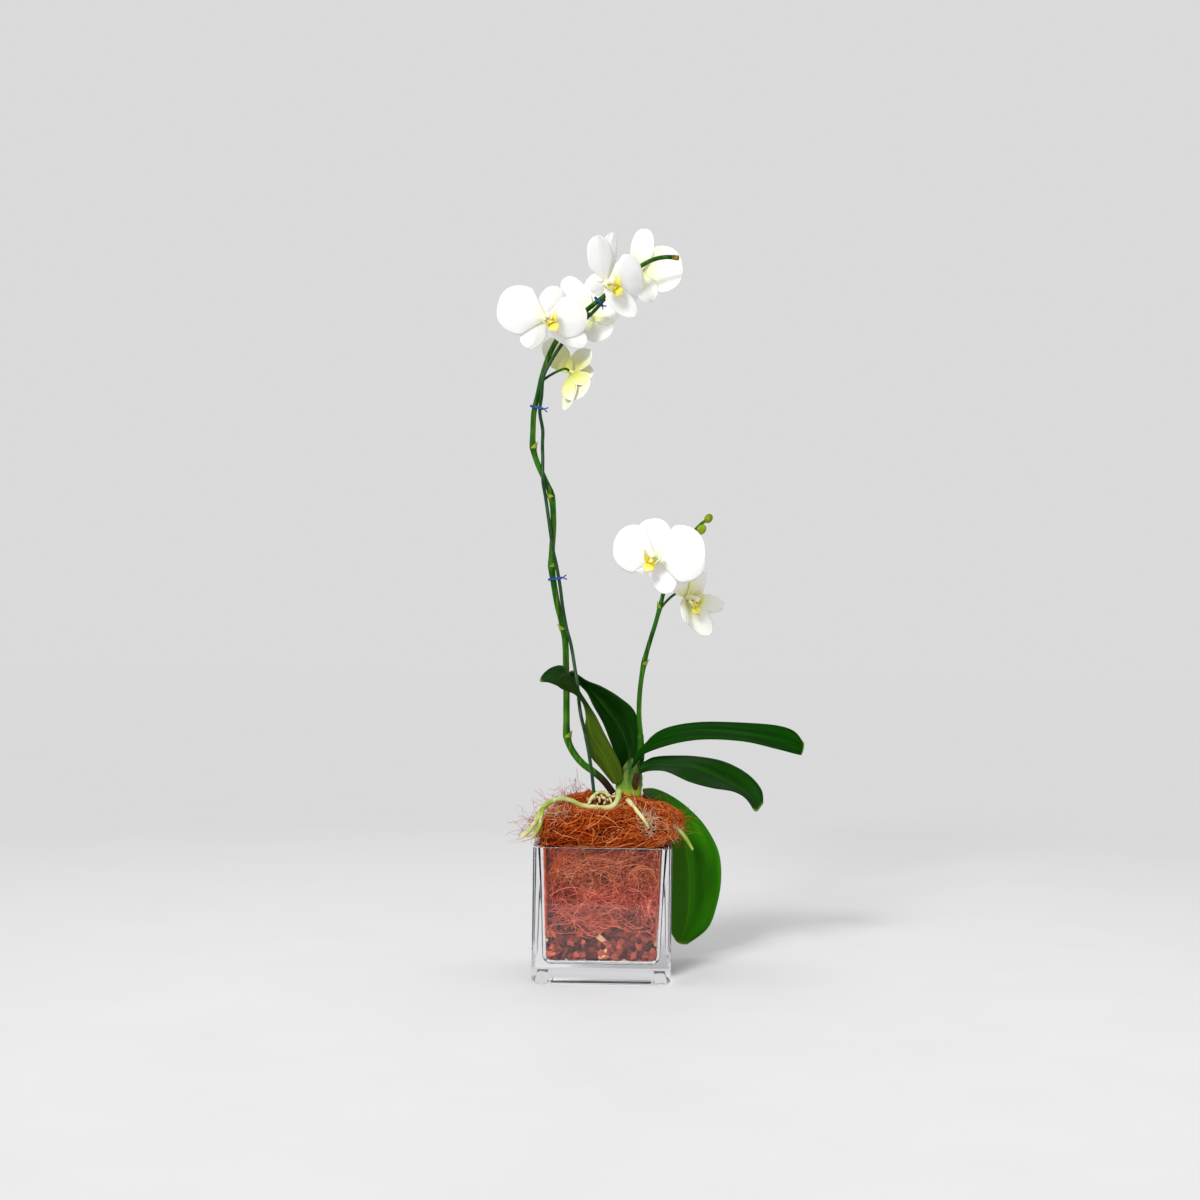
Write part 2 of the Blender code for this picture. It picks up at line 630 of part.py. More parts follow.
def on_spike(points, level):
    """The place on a spike at a pixel height, and the spike's direction there."""
    for low, high in zip(points, points[1:]):
        if low[1] >= level >= high[1]:
            a, b = spot(low), spot(high)
            share = (low[1] - level) / (low[1] - high[1])
            return a.lerp(b, share), (b - a).normalized()
    return spot(points[-1]), Vector((0, 0, 1))


def bloom_frame(spec):
    """Matrix of a bloom: x right, y up, z facing out."""
    out = Vector(spec["face"]).normalized()
    up = (Vector((0, 0, 1)) - out * out.z).normalized()
    right = up.cross(out)
    turn = Matrix((right, up, out)).transposed().to_4x4()
    turn = turn @ Matrix.Rotation(-math.radians(spec["roll"]), 4, "Z")
    return Matrix.Translation(spot(spec["hub"])) @ turn


def pedicel(spec, points, collection):
    """The flower's own stalk, from its joint on the spike to just behind the hub."""
    start, along = on_spike(points, spec["joint"])
    frame = bloom_frame(spec)
    end = frame @ Vector((0, 0, -HUB_BACK - PEDICEL_STRAIGHT))
    reach = (end - start).length
    first = start + along * reach * 0.1 + (end - start) * 0.2
    last = end - frame.to_3x3() @ Vector((0, 0, reach * 0.2))
    stalk = []
    for k in range(PEDICEL_POINTS):
        t = k / (PEDICEL_POINTS - 1)
        middle = first.lerp(last, t)
        stalk.append(start.lerp(first, t).lerp(middle, t).lerp(middle.lerp(last.lerp(end, t), t), t))
    stalk.append(frame @ Vector((0, 0, -HUB_BACK - CLEARANCE)))
    return tube("pedicel", stalk, PEDICEL_RADIUS, collection, 1)


def make_tall_spike(parts):
    path = spots(TALL_SPIKE)
    radii = spike_radii(len(path), SPIKE_BASE_RADIUS, SPIKE_TIP_RADIUS, TALL_NODES)
    pieces = [tube("flower_spike_tall", path, radii, parts, 1)]
    for index in TALL_NODES:
        pieces.append(bract("bract", path, index, radii[index], parts))
    for spec in BLOOMS.values():
        if spec["spike"] == "tall":
            pieces.append(pedicel(spec, TALL_SPIKE, parts))
    spike = combine("flower_spike_tall", pieces, parts)
    finish_look(spike, "spike")


def make_short_spike(parts):
    path = spots(SHORT_SPIKE)
    radii = spike_radii(len(path), SHORT_SPIKE_RADIUS, SHORT_SPIKE_TIP_RADIUS, SHORT_NODES)
    pieces = [tube("flower_spike_short", path, radii, parts, 1)]
    for index in SHORT_NODES:
        pieces.append(bract("bract", path, index, radii[index], parts))
    pieces.append(tube("sheath", path[:4], SHEATH_RADII, parts, 1))
    for place, size in BUDS:
        radii = (size * MM, size * MM, size * 1.25 * MM)
        pieces.append(ball("bud", spot(place), radii, parts, Matrix.Rotation(0.6, 4, "Y"), 2))
    for spec in BLOOMS.values():
        if spec["spike"] == "short":
            pieces.append(pedicel(spec, SHORT_SPIKE, parts))
    spike = combine("flower_spike_short", pieces, parts)
    finish_look(spike, "spike")


def stake_path():
    """Out of the coir, past the folded leaf, then wound round the spike to the upper tie."""
    path = spots(STAKE_FOOT)
    for level, degrees, share in STAKE_TURN:
        at, along = on_spike(TALL_SPIKE, level)
        right = Vector((0, 1, 0)).cross(along).normalized()
        back = along.cross(right).normalized()
        a = math.radians(degrees)
        path.append(at + (right * math.cos(a) + back * math.sin(a)) * STAKE_DISTANCE * share)
    return path


def make_stake(parts):
    stake = tube("support_stake", stake_path(), STAKE_RADIUS, parts, 1)
    finish_look(stake, "stake")


def make_tie(name, level, parts):
    """A wire tie round spike and stake, with two short twisted ends."""
    at, along = on_spike(TALL_SPIKE, level)
    rod = stake_path()
    crossing = [a.lerp(b, k / 8) for a, b in zip(rod, rod[1:]) for k in range(8)]
    near = [p for p in crossing if (p - at).length < 3 * STAKE_DISTANCE]
    mate = min(near, key=lambda p: abs((p - at).dot(along)))
    axis = (mate - at) - along * (mate - at).dot(along)
    span = axis.length
    axis.normalize()
    across = along.cross(axis)
    loop = []
    for centre, radius, start in ((0, SPIKE_BASE_RADIUS, 90), (span, STAKE_RADIUS, -90)):
        reach = radius + TIE_WIRE + TIE_SLACK
        for k in range(5):
            a = math.radians(start + 45 * k)
            loop.append(at + axis * (centre + math.cos(a) * reach) + across * math.sin(a) * reach)
    pieces = [tube(name, loop, TIE_WIRE, parts, 1, closed=True)]
    knot = at + axis * (span + STAKE_RADIUS + TIE_WIRE + TIE_SLACK)
    for lift in (-1, 1):
        end = knot + axis * 5 * MM + along * lift * 2 * MM
        pieces.append(tube("end", [knot, end], TIE_WIRE, parts, 1))
    finish_look(combine(name, pieces, parts), "tie")


def leaf_rows(stations, steps, extra=0.0):
    """Rows of points of a leaf: smooth from base to tip, bowed between margins and midrib."""
    lines = [smooth(spots([station[k] for station in stations]), steps) for k in range(3)]
    for line in lines:
        line[0] = line[0] + (line[0] - line[1]).normalized() * extra
    rows = []
    for left, middle, right in zip(*lines):
        sag = middle - (left + right) / 2
        left = left + (left - middle).normalized() * extra
        right = right + (right - middle).normalized() * extra
        row = []
        for k in range(LEAF_ACROSS + 1):
            t = -1 + 2 * k / LEAF_ACROSS
            edge = left if t < 0 else right
            row.append(middle.lerp(edge, abs(t)) + sag * (abs(t) - abs(t) ** 1.35) * 0.8)
        rows.append(row)
    return rows


def make_leaf(name, stations, parts, extra=0.0):
    steps = 1 if len(stations) > 10 else 2
    return blade(name, leaf_rows(stations, steps, 2 * extra), LEAF_THICKNESS + 3 * extra, parts)


# the crown: height in mm, half width, half depth, centre x, centre y
CROWN_RINGS = [
    (141, 6, 6, 20, 0), (147, 9, 9, 20.5, 0), (153, 11.5, 10, 21, 0), (160, 12.5, 10, 22, 0),
    (168, 12.5, 9, 23, 0), (176, 10.5, 7.5, 24, 0), (184, 7.5, 6, 25.5, 0), (190, 4, 3.5, 26.5, 0),
]


def crown_solid(name, extra, collection):
    rings = []
    lowest = CROWN_RINGS[0][0]
    for z, wide, deep, x, y in CROWN_RINGS:
        z += extra if z > lowest else -extra
        ring = []
        for k in range(12):
            a = 2 * math.pi * k / 12
            place = (x + (wide + extra) * math.cos(a), y + (deep + extra) * math.sin(a), z)
            ring.append(Vector(place) * MM)
        rings.append(ring)
    return loft(name, rings, collection)


def make_crown(parts, cutters):
    crown = crown_solid("orchid_stem", 0.0, parts)
    stub = tube("stub", spots([(634, 790, -4), (635.5, 781, -9), (637, 774, -12)]),
                [3.2 * MM, 3.4 * MM, 2.2 * MM], parts, 1)
    crown = combine("orchid_stem", [crown, stub], parts)
    crown = combine("orchid_stem", [crown] + cutters, parts, "DIFFERENCE")
    keep_largest(crown)
    finish_look(crown, "stem")


def tepal(frame, tip, width, lean, kind, across, parts):
    """A petal or sepal in the bloom's frame, from the hub to a photograph point at its tip."""
    claw, height, bow = TEPAL_KINDS[kind]
    end = frame.inverted() @ spot(tip)
    start = Vector((end.x, end.y, 0)).normalized() * TEPAL_FOOT + Vector((0, 0, height))
    axis = end - start
    ahead = axis.normalized()
    normal = Vector((0, 0, 1)) - ahead * ahead.z
    normal = Matrix.Rotation(math.radians(lean), 3, ahead) @ normal.normalized()
    side = ahead.cross(normal)
    rows = []
    for i in range(TEPAL_STEPS + 1):
        s = 0.06 + 0.915 * i / TEPAL_STEPS
        u = (1 - math.cos(math.pi * s)) / 2
        half = width / 2 * math.sin(math.pi * s) ** 0.8
        half *= claw + (1 - claw) * min(1.0, u / 0.4)
        row = []
        for k in range(across + 1):
            t = -1 + 2 * k / across
            rise = bow * math.sin(math.pi * u) - 0.2 * t * t * half
            row.append(start + axis * u + side * half * t + normal * rise)
        rows.append(row)
    return blade("tepal", rows, TEPAL_THICKNESS, parts)


def hub_solid(parts):
    """The small knob that the tepals grow from, drawn out behind to the pedicel."""
    rings = []
    for z, share in HUB_PROFILE:
        angles = [2 * math.pi * k / 6 for k in range(6)]
        radius = HUB_RADIUS * share
        rings.append([Vector((radius * math.cos(a), radius * math.sin(a), z * MM)) for a in angles])
    return loft("hub", rings, parts)


def make_tepals(name, spec, parts):
    """Three sepals behind, two wide petals before them and the column, in the bloom's frame."""
    pieces = [hub_solid(parts)]
    for kind, across in (("sepals", 2), ("petals", 4)):
        for tip, width, lean in spec[kind]:
            pieces.append(tepal(bloom_frame(spec), tip, width * MM, lean, kind, across, parts))
    column = [Vector(p) * MM for p in ((0, 0.5, 0), (0, 1.8, 6), (0, 2.6, 13))]
    pieces.append(tube("column", column, [2.4 * MM, 2.2 * MM, 2.6 * MM], parts, 1))
    bloom = combine(name, pieces, parts)
    finish_look(bloom, "tepal")
    return bloom


def make_lip(name, parts):
    """The lip in the bloom's frame: a pointed middle lobe, two raised side lobes and a callus."""
    pieces = [ball("foot", Vector((0, LIP_FOOT_Y, 6.4)) * MM, (2.2 * MM, 2.9 * MM, 2.9 * MM), parts)]
    middle = []
    for y, z, half in LIP_ROWS:
        middle.append([Vector((half * t, y, z - 1.2 * t * t)) * MM for t in (-1, 0, 1)])
    pieces.append(blade("middle", middle, LIP_THICKNESS, parts))
    for side in (-1, 1):
        lobe = []
        for s, half in ((0, 1.6), (0.4, 3.6), (0.75, 4.0), (1, 1.6)):
            reach, rise, out = 1.2 + 7.2 * s, -5 + 9.5 * s * s, 6.5 + 4.5 * s
            rows = [(reach - 0.4 * t * t, rise - half * 0.25 * t, out + half * t) for t in (-1, 0, 1)]
            lobe.append([Vector((side * x, y, z)) * MM for x, y, z in rows])
        pieces.append(blade("side", lobe, LIP_THICKNESS, parts))
    lip = combine(name, pieces, parts)
    finish_look(lip, "lip")
    return lip


def make_bloom(name, spec, parts):
    """A bloom's two pieces, modelled facing +z and hung on an empty that turns and places them."""
    empty = bpy.data.objects.new(name, None)
    parts.objects.link(empty)
    empty.matrix_world = bloom_frame(spec)
    for piece in (make_tepals(name + "_tepals", spec, parts), make_lip(name + "_lip", parts)):
        piece.parent = empty


def lengthened(path, extra):
    """A path that runs on by extra at both ends."""
    first = path[0] + (path[0] - path[1]).normalized() * extra
    last = path[-1] + (path[-1] - path[-2]).normalized() * extra
    return [first] + path[1:-1] + [last]


def grown(points, radii, extra):
    """A root's path and its radii, made larger by extra all round and at its ends."""
    path = lengthened(spots(points), 2 * extra)
    count = len(path)
    sizes = [radii[0] + (radii[1] - radii[0]) * i / (count - 1) + extra for i in range(count)]
    return path, sizes


def root_pieces(kind, extra, parts):
    """The tubes of one root node, each made larger by extra."""
    if kind == "aerial_roots":
        runs = [(LEFT_ROOT, (ROOT_RADIUS, 1.9 * MM)), (LEFT_ROOT_BRANCH, (1.9 * MM, 1.5 * MM)),
                (LOOP_ROOT, (1.3 * MM, 1.3 * MM))]
    elif kind == "root_right":
        runs = [(RIGHT_ROOT, (1.0 * MM, 1.9 * MM))]
    else:
        runs = [(SILVER_ROOT, (3.3 * MM, 1.8 * MM))]
    return [tube(kind, *grown(points, radii, extra), parts, 1) for points, radii in runs]


def make_roots(kind, parts, cutters):
    pieces = root_pieces(kind, 0.0, parts)
    root = combine(kind, pieces, parts) if len(pieces) > 1 else pieces[0]
    if cutters:
        root = combine(kind, [root] + cutters, parts, "DIFFERENCE")
        keep_largest(root)
    finish_look(root, "root")


def widened_spike(points, base, extra, count, collection):
    return tube("hole", lengthened(spots(points[:count]), 2 * extra), base + extra, collection, 1)


def make_all():
    clear_scene()
    parts = new_collection("potted_orchid")
    cutters = new_collection("cutters")
    gap = CLEARANCE
    make_vase(parts, cutters)
    make_bark(parts)
    make_tall_spike(parts)
    make_short_spike(parts)
    make_stake(parts)
    for name, level in TIE_HEIGHTS.items():
        make_tie(name, level, parts)
    for name, stations in LEAVES.items():
        leaf = make_leaf(name, stations, parts)
        leaf = combine(name, [leaf, crown_solid("cut", gap / MM, parts)], parts, "DIFFERENCE")
        keep_largest(leaf)
        finish_look(leaf, "leaf")
    holes = [widened_spike(TALL_SPIKE, SPIKE_BASE_RADIUS, gap, 4, parts),
             widened_spike(SHORT_SPIKE, max(SHEATH_RADII), gap, 4, parts)]
    make_crown(parts, holes)
    for kind in ("aerial_roots", "root_silver"):
        make_roots(kind, parts, [crown_solid("cut", gap / MM, parts)])
    make_roots("root_right", parts, [])
    around = [crown_solid("cut", gap / MM, parts), widened_spike(TALL_SPIKE, SPIKE_BASE_RADIUS, gap, 5, parts)]
    around.append(tube("hole", lengthened(stake_path()[:5], 2 * gap), STAKE_RADIUS + gap, parts, 1))
    around.append(make_leaf("hole", LEAVES["leaf_drooping"], parts, gap))
    for kind in ("aerial_roots", "root_silver", "root_right"):
        around += root_pieces(kind, gap, parts)
    make_coir(parts, around)
    for name, spec in BLOOMS.items():
        make_bloom(name, spec, parts)


make_all()
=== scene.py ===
"""The finished look of a potted moth orchid in a square glass vase of coir and bark.

Metres, +Z up, -Y is the front. Stems, leaves, roots and blooms are placed by photograph points:
(pixel x, pixel y, depth in mm), which spot() turns into metres by the photograph's own view.
"""

import math
import random

import bpy
from mathutils import Matrix, Vector, noise


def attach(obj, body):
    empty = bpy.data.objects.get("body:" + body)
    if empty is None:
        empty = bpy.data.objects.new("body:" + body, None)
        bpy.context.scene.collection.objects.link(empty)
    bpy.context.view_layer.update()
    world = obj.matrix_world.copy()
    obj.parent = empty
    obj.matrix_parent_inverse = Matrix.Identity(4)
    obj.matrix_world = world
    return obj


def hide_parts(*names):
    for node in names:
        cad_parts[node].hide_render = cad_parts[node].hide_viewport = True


MM = 0.001

# the photograph's view: a level camera in front of the vase
EYE = Vector((-0.0054, -1.75, 0.330))
LENS_PIXELS = 1973.0
MIDDLE_PIXEL = 600.0
IMAGE_PIXELS = 1200.0
LEAN = math.radians(0.8)

# glass vase
VASE_SIDE = 120 * MM
VASE_HEIGHT = 117 * MM
VASE_CORNER = 8 * MM
VASE_FOOT_ROUND = 3 * MM
RIM_ROUND = 1.2 * MM
WALL_AT_RIM = 6 * MM
WALL_AT_FLOOR = 9.5 * MM
GLASS_FLOOR = 16 * MM
CAVITY_CORNER = 7 * MM
CAVITY_FLOOR_ROUND = 8 * MM
RECESS_SIDE = 92 * MM
RECESS_DEPTH = 2.2 * MM

# filling
BARK_TOP = 48 * MM
COIR_GAP = 0.6 * MM

# stems and blades
SPIKE_BASE_RADIUS = 3.1 * MM
SPIKE_TIP_RADIUS = 1.9 * MM
SHORT_SPIKE_RADIUS = 2.5 * MM
PEDICEL_RADIUS = 1.25 * MM
STAKE_RADIUS = 1.6 * MM
STAKE_DISTANCE = 5.5 * MM
ROOT_RADIUS = 2.6 * MM
TIE_WIRE = 0.7 * MM
TIE_SLACK = 0.5 * MM
LEAF_THICKNESS = 1.4 * MM
TEPAL_THICKNESS = 0.6 * MM
LIP_THICKNESS = 0.7 * MM

# bloom, in its own frame: x to the right, y up, z out of its face
TEPAL_FOOT = 0.8 * MM
# claw, the waist near the base as a share of the width, height over the hub and forward bow
TEPAL_KINDS = {"petals": (0.28, 0.6 * MM, 2.0 * MM), "sepals": (0.55, -2.2 * MM, 0.6 * MM)}
HUB_BACK = 7 * MM
CLEARANCE = 0.3 * MM
PEDICEL_STRAIGHT = 2.5 * MM

TALL_SPIKE = [
    (613, 793, 4), (604, 781, 3), (594, 772, 2), (582, 763, 2), (572, 750, 2), (567, 736, 3),
    (566.5, 715, 4), (566.5, 690, 6), (566, 665, 6), (565.5, 645, 5), (563.5, 628, 3),
    (558, 607, 2), (554.5, 588, 1), (551.5, 566, 1), (552, 550, 2), (553.5, 522, 2),
    (551.5, 496, 2), (545, 480, 2), (537, 462, 2), (533, 447, 2), (533, 430, 2), (534, 412, 2),
    (538, 395, 1), (542, 377, 0), (547, 361, 0), (554, 345, 0), (563, 332, 0), (573, 322, 0),
    (583, 313, 0), (593, 305, 0), (603, 297, 0), (613, 289, 0), (624, 280, 0), (635, 270, -1),
    (645, 263.5, -3), (655, 259, -4), (667, 257, -5), (679, 258, -5),
]
TALL_NODES = (5, 10, 13, 16, 19, 33)
STAKE_FOOT = [
    (596, 822, -12), (594, 795, -12), (592, 775, -12), (589.5, 757, -17), (585.5, 735, -20),
    (581, 716, -19), (579, 702, -13), (578, 689, -8), (575.5, 672, -3),
]
STAKE_TURN = [
    (645, -25, 1.0), (628, -60, 1.0), (607, -40, 1.0), (588, -20, 1.0), (566, -35, 1.0),
    (550, -80, 1.0), (522, -135, 1.0), (496, -165, 1.0), (480, -110, 1.0), (462, -20, 1.1),
    (447, -8, 1.6), (430, -8, 1.6), (412, -20, 1.0), (395, -50, 1.0), (377, -75, 1.0),
    (361, -50, 1.0), (345, 0, 1.0), (332, 15, 1.0), (322, 15, 1.0), (313, 0, 1.0),
    (305, -30, 1.0), (297, -60, 1.0),
]
TIE_HEIGHTS = {"tie_lower": 579, "tie_middle": 407, "tie_upper": 301}

SHORT_SPIKE = [
    (634, 782, 7), (638, 768, 9), (640.5, 752, 9), (640.5, 735, 8), (639, 715, 8),
    (640, 690, 8), (644, 663, 7), (650, 641, 6), (655, 625, 6), (660, 607, 6), (664, 591, 7),
    (669, 575, 9), (677, 558, 10), (685, 545, 10), (692, 534, 9), (699, 526, 8), (706, 520, 8),
]
SHORT_NODES = (6, 9)
BUDS = [((701.5, 529.5, 5), 4.0), ((708.5, 518.5, 8), 3.6)]

LEAVES = {
    "leaf_upright": [
        ((628, 779, 8.5), (625, 781, 9), (621, 781, 6.5)),
        ((637, 757, 17), (629, 764, 20), (618, 762, 11)),
        ((640, 732, 17), (626, 742, 24), (611, 742, 12)),
        ((634, 711, 15), (616, 721, 24), (603, 722, 12)),
        ((620, 698, 13), (604, 706, 21), (594, 706, 11)),
        ((602, 687, 11), (593, 694, 18), (587, 692, 9)),
        ((586, 680.5, 10), (581, 683, 15), (577, 682, 10)),
        ((572, 670.5, 12), (570, 671.5, 13), (568, 672.5, 12)),
    ],
    "leaf_folded": [
        ((613, 783, -5), (617, 784, -9), (623, 779, -7)),
        ((600, 767, -5), (609, 764, -13), (620, 764, -7)),
        ((590.5, 755, -6), (600, 748, -17), (613, 750, -9)),
        ((584.5, 735, -9), (591, 733, -22), (604.5, 734, -13)),
        ((586.5, 717, -12), (586.8, 715, -26), (596, 717, -19)),
        ((584, 703, -15), (583, 703, -31), (589, 706, -26)),
        ((575, 688, -19), (576, 695, -35), (580, 692, -34)),
        ((567.5, 671, -22), (568, 691, -39), (572, 677, -42)),
        ((561, 665.5, -25), (562, 688.5, -42), (564.5, 673.5, -46)),
        ((552, 667.5, -30), (556, 684.5, -44), (557.5, 679.5, -48)),
        ((545, 672.5, -35), (548, 681.5, -43), (549.5, 680, -46)),
        ((540.5, 678.5, -39), (539.5, 680.5, -41), (541.5, 682, -43)),
    ],
    "leaf_right_upper": [
        ((630, 772, -5), (630, 768, -4), (631, 762, -3)),
        ((640, 757, -8), (641, 752, -4), (643, 746, 0)),
        ((652, 750, -7), (652, 743, 3), (656, 733, 11)),
        ((680, 742, -7), (676, 735, 8), (675, 726, 22)),
        ((710, 739, -7), (706, 732, 11), (703, 722.5, 28)),
        ((745, 741, -6), (743, 734, 13), (740, 723, 32)),
        ((775, 748, -3), (776, 740, 14), (775, 725.5, 30)),
        ((792, 752.5, 2), (796, 745, 14), (794, 731.5, 25)),
        ((801, 755, 9), (804, 750, 13), (804, 743, 16)),
    ],
    "leaf_right_middle": [
        ((634, 777, -4), (635, 772, -1), (636, 767, 0)),
        ((643, 772, -5), (643, 768, -1), (644, 762, 2)),
        ((652, 770, -9), (652, 766, 0), (654, 757.5, 8)),
        ((667, 771.5, -13), (668, 766.5, 1), (672, 756, 15)),
        ((690, 781.5, -16), (691, 767, 3), (698, 757, 20)),
        ((712, 787.5, -16), (714, 776, 4), (724, 762, 21)),
        ((733, 791, -13), (735, 787, 5), (747, 774, 19)),
        ((746, 798, -8), (750, 798, 6), (761, 789, 15)),
        ((754.5, 810, -2), (757, 812, 4), (763.5, 803, 9)),
    ],
    "leaf_drooping": [
        ((643, 795, 8), (644, 793, 14), (643, 788.5, 15)),
        ((648, 801, 20), (652, 795, 26), (654, 788.5, 25)),
        ((654, 811, 38), (663, 804, 44), (669, 794.5, 42)),
        ((658, 825, 57), (675, 818, 60), (687, 807, 56)),
        ((660, 846, 68), (684, 838, 71), (705, 826, 65)),
        ((661, 868, 70), (688, 862, 76), (718.5, 852, 69)),
        ((661, 892, 71), (689.5, 888, 78), (721, 880, 71)),
        ((664, 914, 73), (688, 914, 79), (716, 908, 73)),
        ((670, 930, 76), (684, 932, 80), (707, 929, 76)),
        ((677, 942, 78), (680, 944, 79), (687, 944.5, 78)),
    ],
}

LEFT_ROOT = [
    (619, 790, -12), (618, 799, -17), (613, 806, -20), (604, 808, -20), (592, 807, -19),
    (580, 805, -19), (572, 801, -19), (565, 799, -20), (555, 800, -23), (545, 806, -28),
    (540, 813, -32), (535, 823, -38), (528, 832, -43), (520, 838, -46),
]
LEFT_ROOT_BRANCH = [(543, 809, -30), (541, 819, -35), (539, 828, -41), (535, 834, -46), (532, 838, -49)]
LOOP_ROOT = [(588, 806, -19), (592, 797, -18), (600, 792, -15), (608, 795, -16), (612, 804, -19)]
RIGHT_ROOT = [(650, 819, -22), (660, 822, -30), (670, 825, -36), (679, 830, -39), (687, 840, -40), (693, 850, -40)]
SILVER_ROOT = [(630, 801, -9), (636, 807, -15), (643, 818, -22), (651, 828, -27), (656, 836, -28)]

# pixels of the pale root's visible stretch, which lies on the dome
PALE_ROOT_PIXELS = [(628, 800), (632, 805), (637, 811), (642, 817), (646, 823), (649, 828)]

# blooms: hub point, facing direction, roll of the lip in degrees clockwise, and the pixel height
# of the joint on the spike; each tepal by its tip's point, width in mm and lean round its own
# midline in degrees
BLOOMS = {
    "bloom_1": dict(
        hub=(546, 318, -20), face=(0.30, -0.94, -0.10), roll=-30, spike="tall", joint=338,
        petals=[((498.5, 303, -32), 43, 0), ((587, 317, -10), 36, 0)],
        sepals=[((560, 288, -16), 25, 0), ((525, 347, -20), 22, 0), ((586, 344, -5), 22, 0)]),
    "bloom_2": dict(
        hub=(573, 374, 10), face=(0.55, 0.75, -0.35), roll=-6, spike="tall", joint=382,
        petals=[((588, 349, 12), 33, -15), ((567, 410, 2), 24, 25)],
        sepals=[((546, 341, 26), 22, 0), ((582, 397, -4), 31, 0), ((592, 378, 4), 25, -20)]),
    "bloom_3": dict(
        hub=(592, 319, 24), face=(0.12, 0.94, -0.30), roll=50, spike="tall", joint=316,
        petals=[((600, 274, 37), 27, 0), ((566, 330, 28), 26, 0)],
        sepals=[((565, 278, 38), 22, 0), ((605, 339, 17), 29, 0), ((618, 311, 24), 23, 0)]),
    "bloom_4": dict(
        hub=(606, 283, -26), face=(0.64, -0.75, -0.15), roll=-45, spike="tall", joint=292,
        petals=[((596, 236, -42), 28, 0), ((642, 281, -12), 49, 15)],
        sepals=[((613, 233, -26), 19, 0), ((635, 316, -12), 20, 20), ((592, 292, -25), 15, 0)]),
    "bloom_5": dict(
        hub=(640, 272, 22), face=(0.15, 0.97, -0.05), roll=-12, spike="tall", joint=270,
        petals=[((682.5, 267, 17), 42, 0), ((613, 277, 27), 28, 0)],
        sepals=[((645, 229, 25), 21, 0), ((651, 302, 19), 21, 0), ((628, 300, 26), 18, 0)]),
    "bloom_6": dict(
        hub=(655, 556, -18), face=(-0.30, -0.93, -0.15), roll=20, spike="short", joint=577,
        petals=[((614, 543, -8), 43, 0), ((705, 553, -32), 51, 0)],
        sepals=[((651, 519, -17), 33, 0), ((668, 593, -13), 25, 0), ((637, 571, -9), 14, 0)]),
    "bloom_7": dict(
        hub=(688, 597, 20), face=(0.70, -0.60, -0.35), roll=-25, spike="short", joint=610,
        petals=[((706, 572, 32), 31, 0), ((723, 609, 44), 19, 20)],
        sepals=[((680, 576, 4), 20, 0), ((687, 624, 8), 19, 0), ((710, 634, 34), 24, 0)]),
}

# the crown: height in mm, half width, half depth, centre x, centre y
CROWN_RINGS = [
    (141, 6, 6, 20, 0), (147, 9, 9, 20.5, 0), (153, 11.5, 10, 21, 0), (160, 12.5, 10, 22, 0),
    (168, 12.5, 9, 23, 0), (176, 10.5, 7.5, 24, 0), (184, 7.5, 6, 25.5, 0), (190, 4, 3.5, 26.5, 0),
]

# the coir's body: height, left, right, front and back in mm
COIR_RINGS = [
    (48.3, -50, 50, -50, 50), (80, -51.2, 51.2, -51.2, 51.2), (116, -52.9, 52.9, -52.9, 52.9),
    (119.5, -54, 56, -54.5, 54), (125, -55, 66, -54, 53), (132, -53, 71, -50, 50),
    (141, -47, 65, -43, 45), (149, -38, 51, -32, 38), (154, -27, 38, -21, 29), (157, -9, 20, -8, 14),
]


def spot(point):
    """The place in metres of a photograph point (pixel x, pixel y, depth in mm)."""
    reach = (point[2] * MM - EYE.y) / LENS_PIXELS
    across = point[0] - MIDDLE_PIXEL
    up = MIDDLE_PIXEL - point[1]
    u = across * math.cos(LEAN) - up * math.sin(LEAN)
    v = across * math.sin(LEAN) + up * math.cos(LEAN)
    return Vector((EYE.x + u * reach, point[2] * MM, EYE.z + v * reach))


def spots(points):
    return [spot(p) for p in points]


# the stretches of root that lie on top of the coir, where no fibre covers them
ROOTS_OVER_COIR = [a.lerp(b, k / 4) for run in (LEFT_ROOT[1:10], LOOP_ROOT[1:4])
                   for a, b in zip(spots(run), spots(run[1:])) for k in range(4)]
FRONT_LIMIT = 64 * MM


def on_curve(points, at):
    """The point of a smooth curve through the given ones; at counts them from 0."""
    last = len(points) - 1
    i = min(int(at), last - 1)
    t = at - i
    a, b, c, d = points[max(i - 1, 0)], points[i], points[i + 1], points[min(i + 2, last)]
    bend = (2 * a - 5 * b + 4 * c - d) * t * t + (3 * b - a - 3 * c + d) * t ** 3
    return 0.5 * (2 * b + (c - a) * t + bend)


def smooth(points, steps):
    """Points on a smooth curve through the given ones, `steps` to each stretch."""
    return [on_curve(points, k / steps) for k in range((len(points) - 1) * steps + 1)]


def deselect():
    if bpy.context.object and bpy.context.object.mode != "OBJECT":
        bpy.ops.object.mode_set(mode="OBJECT")
    bpy.ops.object.select_all(action="DESELECT")


def choose(obj):
    """Select one piece and make it the active one."""
    deselect()
    obj.select_set(True)
    bpy.context.view_layer.objects.active = obj
    return obj


def join(name, pieces):
    """Join pieces into one of that name."""
    deselect()
    for piece in pieces:
        piece.select_set(True)
    bpy.context.view_layer.objects.active = pieces[0]
    if len(pieces) > 1:
        bpy.ops.object.join()
    made = bpy.context.object
    made.name = made.data.name = name
    return made


def settle(obj, node=None, materials=()):
    """Apply a piece's place, give it its materials and tie it to the frame."""
    choose(obj)
    bpy.ops.object.transform_apply(location=True, rotation=True, scale=True)
    if materials:
        obj.data.materials.clear()
        for mat in materials:
            obj.data.materials.append(mat)
    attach(obj, "root")
    if node:
        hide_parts(*([node] if isinstance(node, str) else node))
    return obj


def give(pieces, material):
    """Give the material to those of the pieces that have none."""
    for piece in pieces:
        if not piece.data.materials:
            piece.data.materials.append(material)


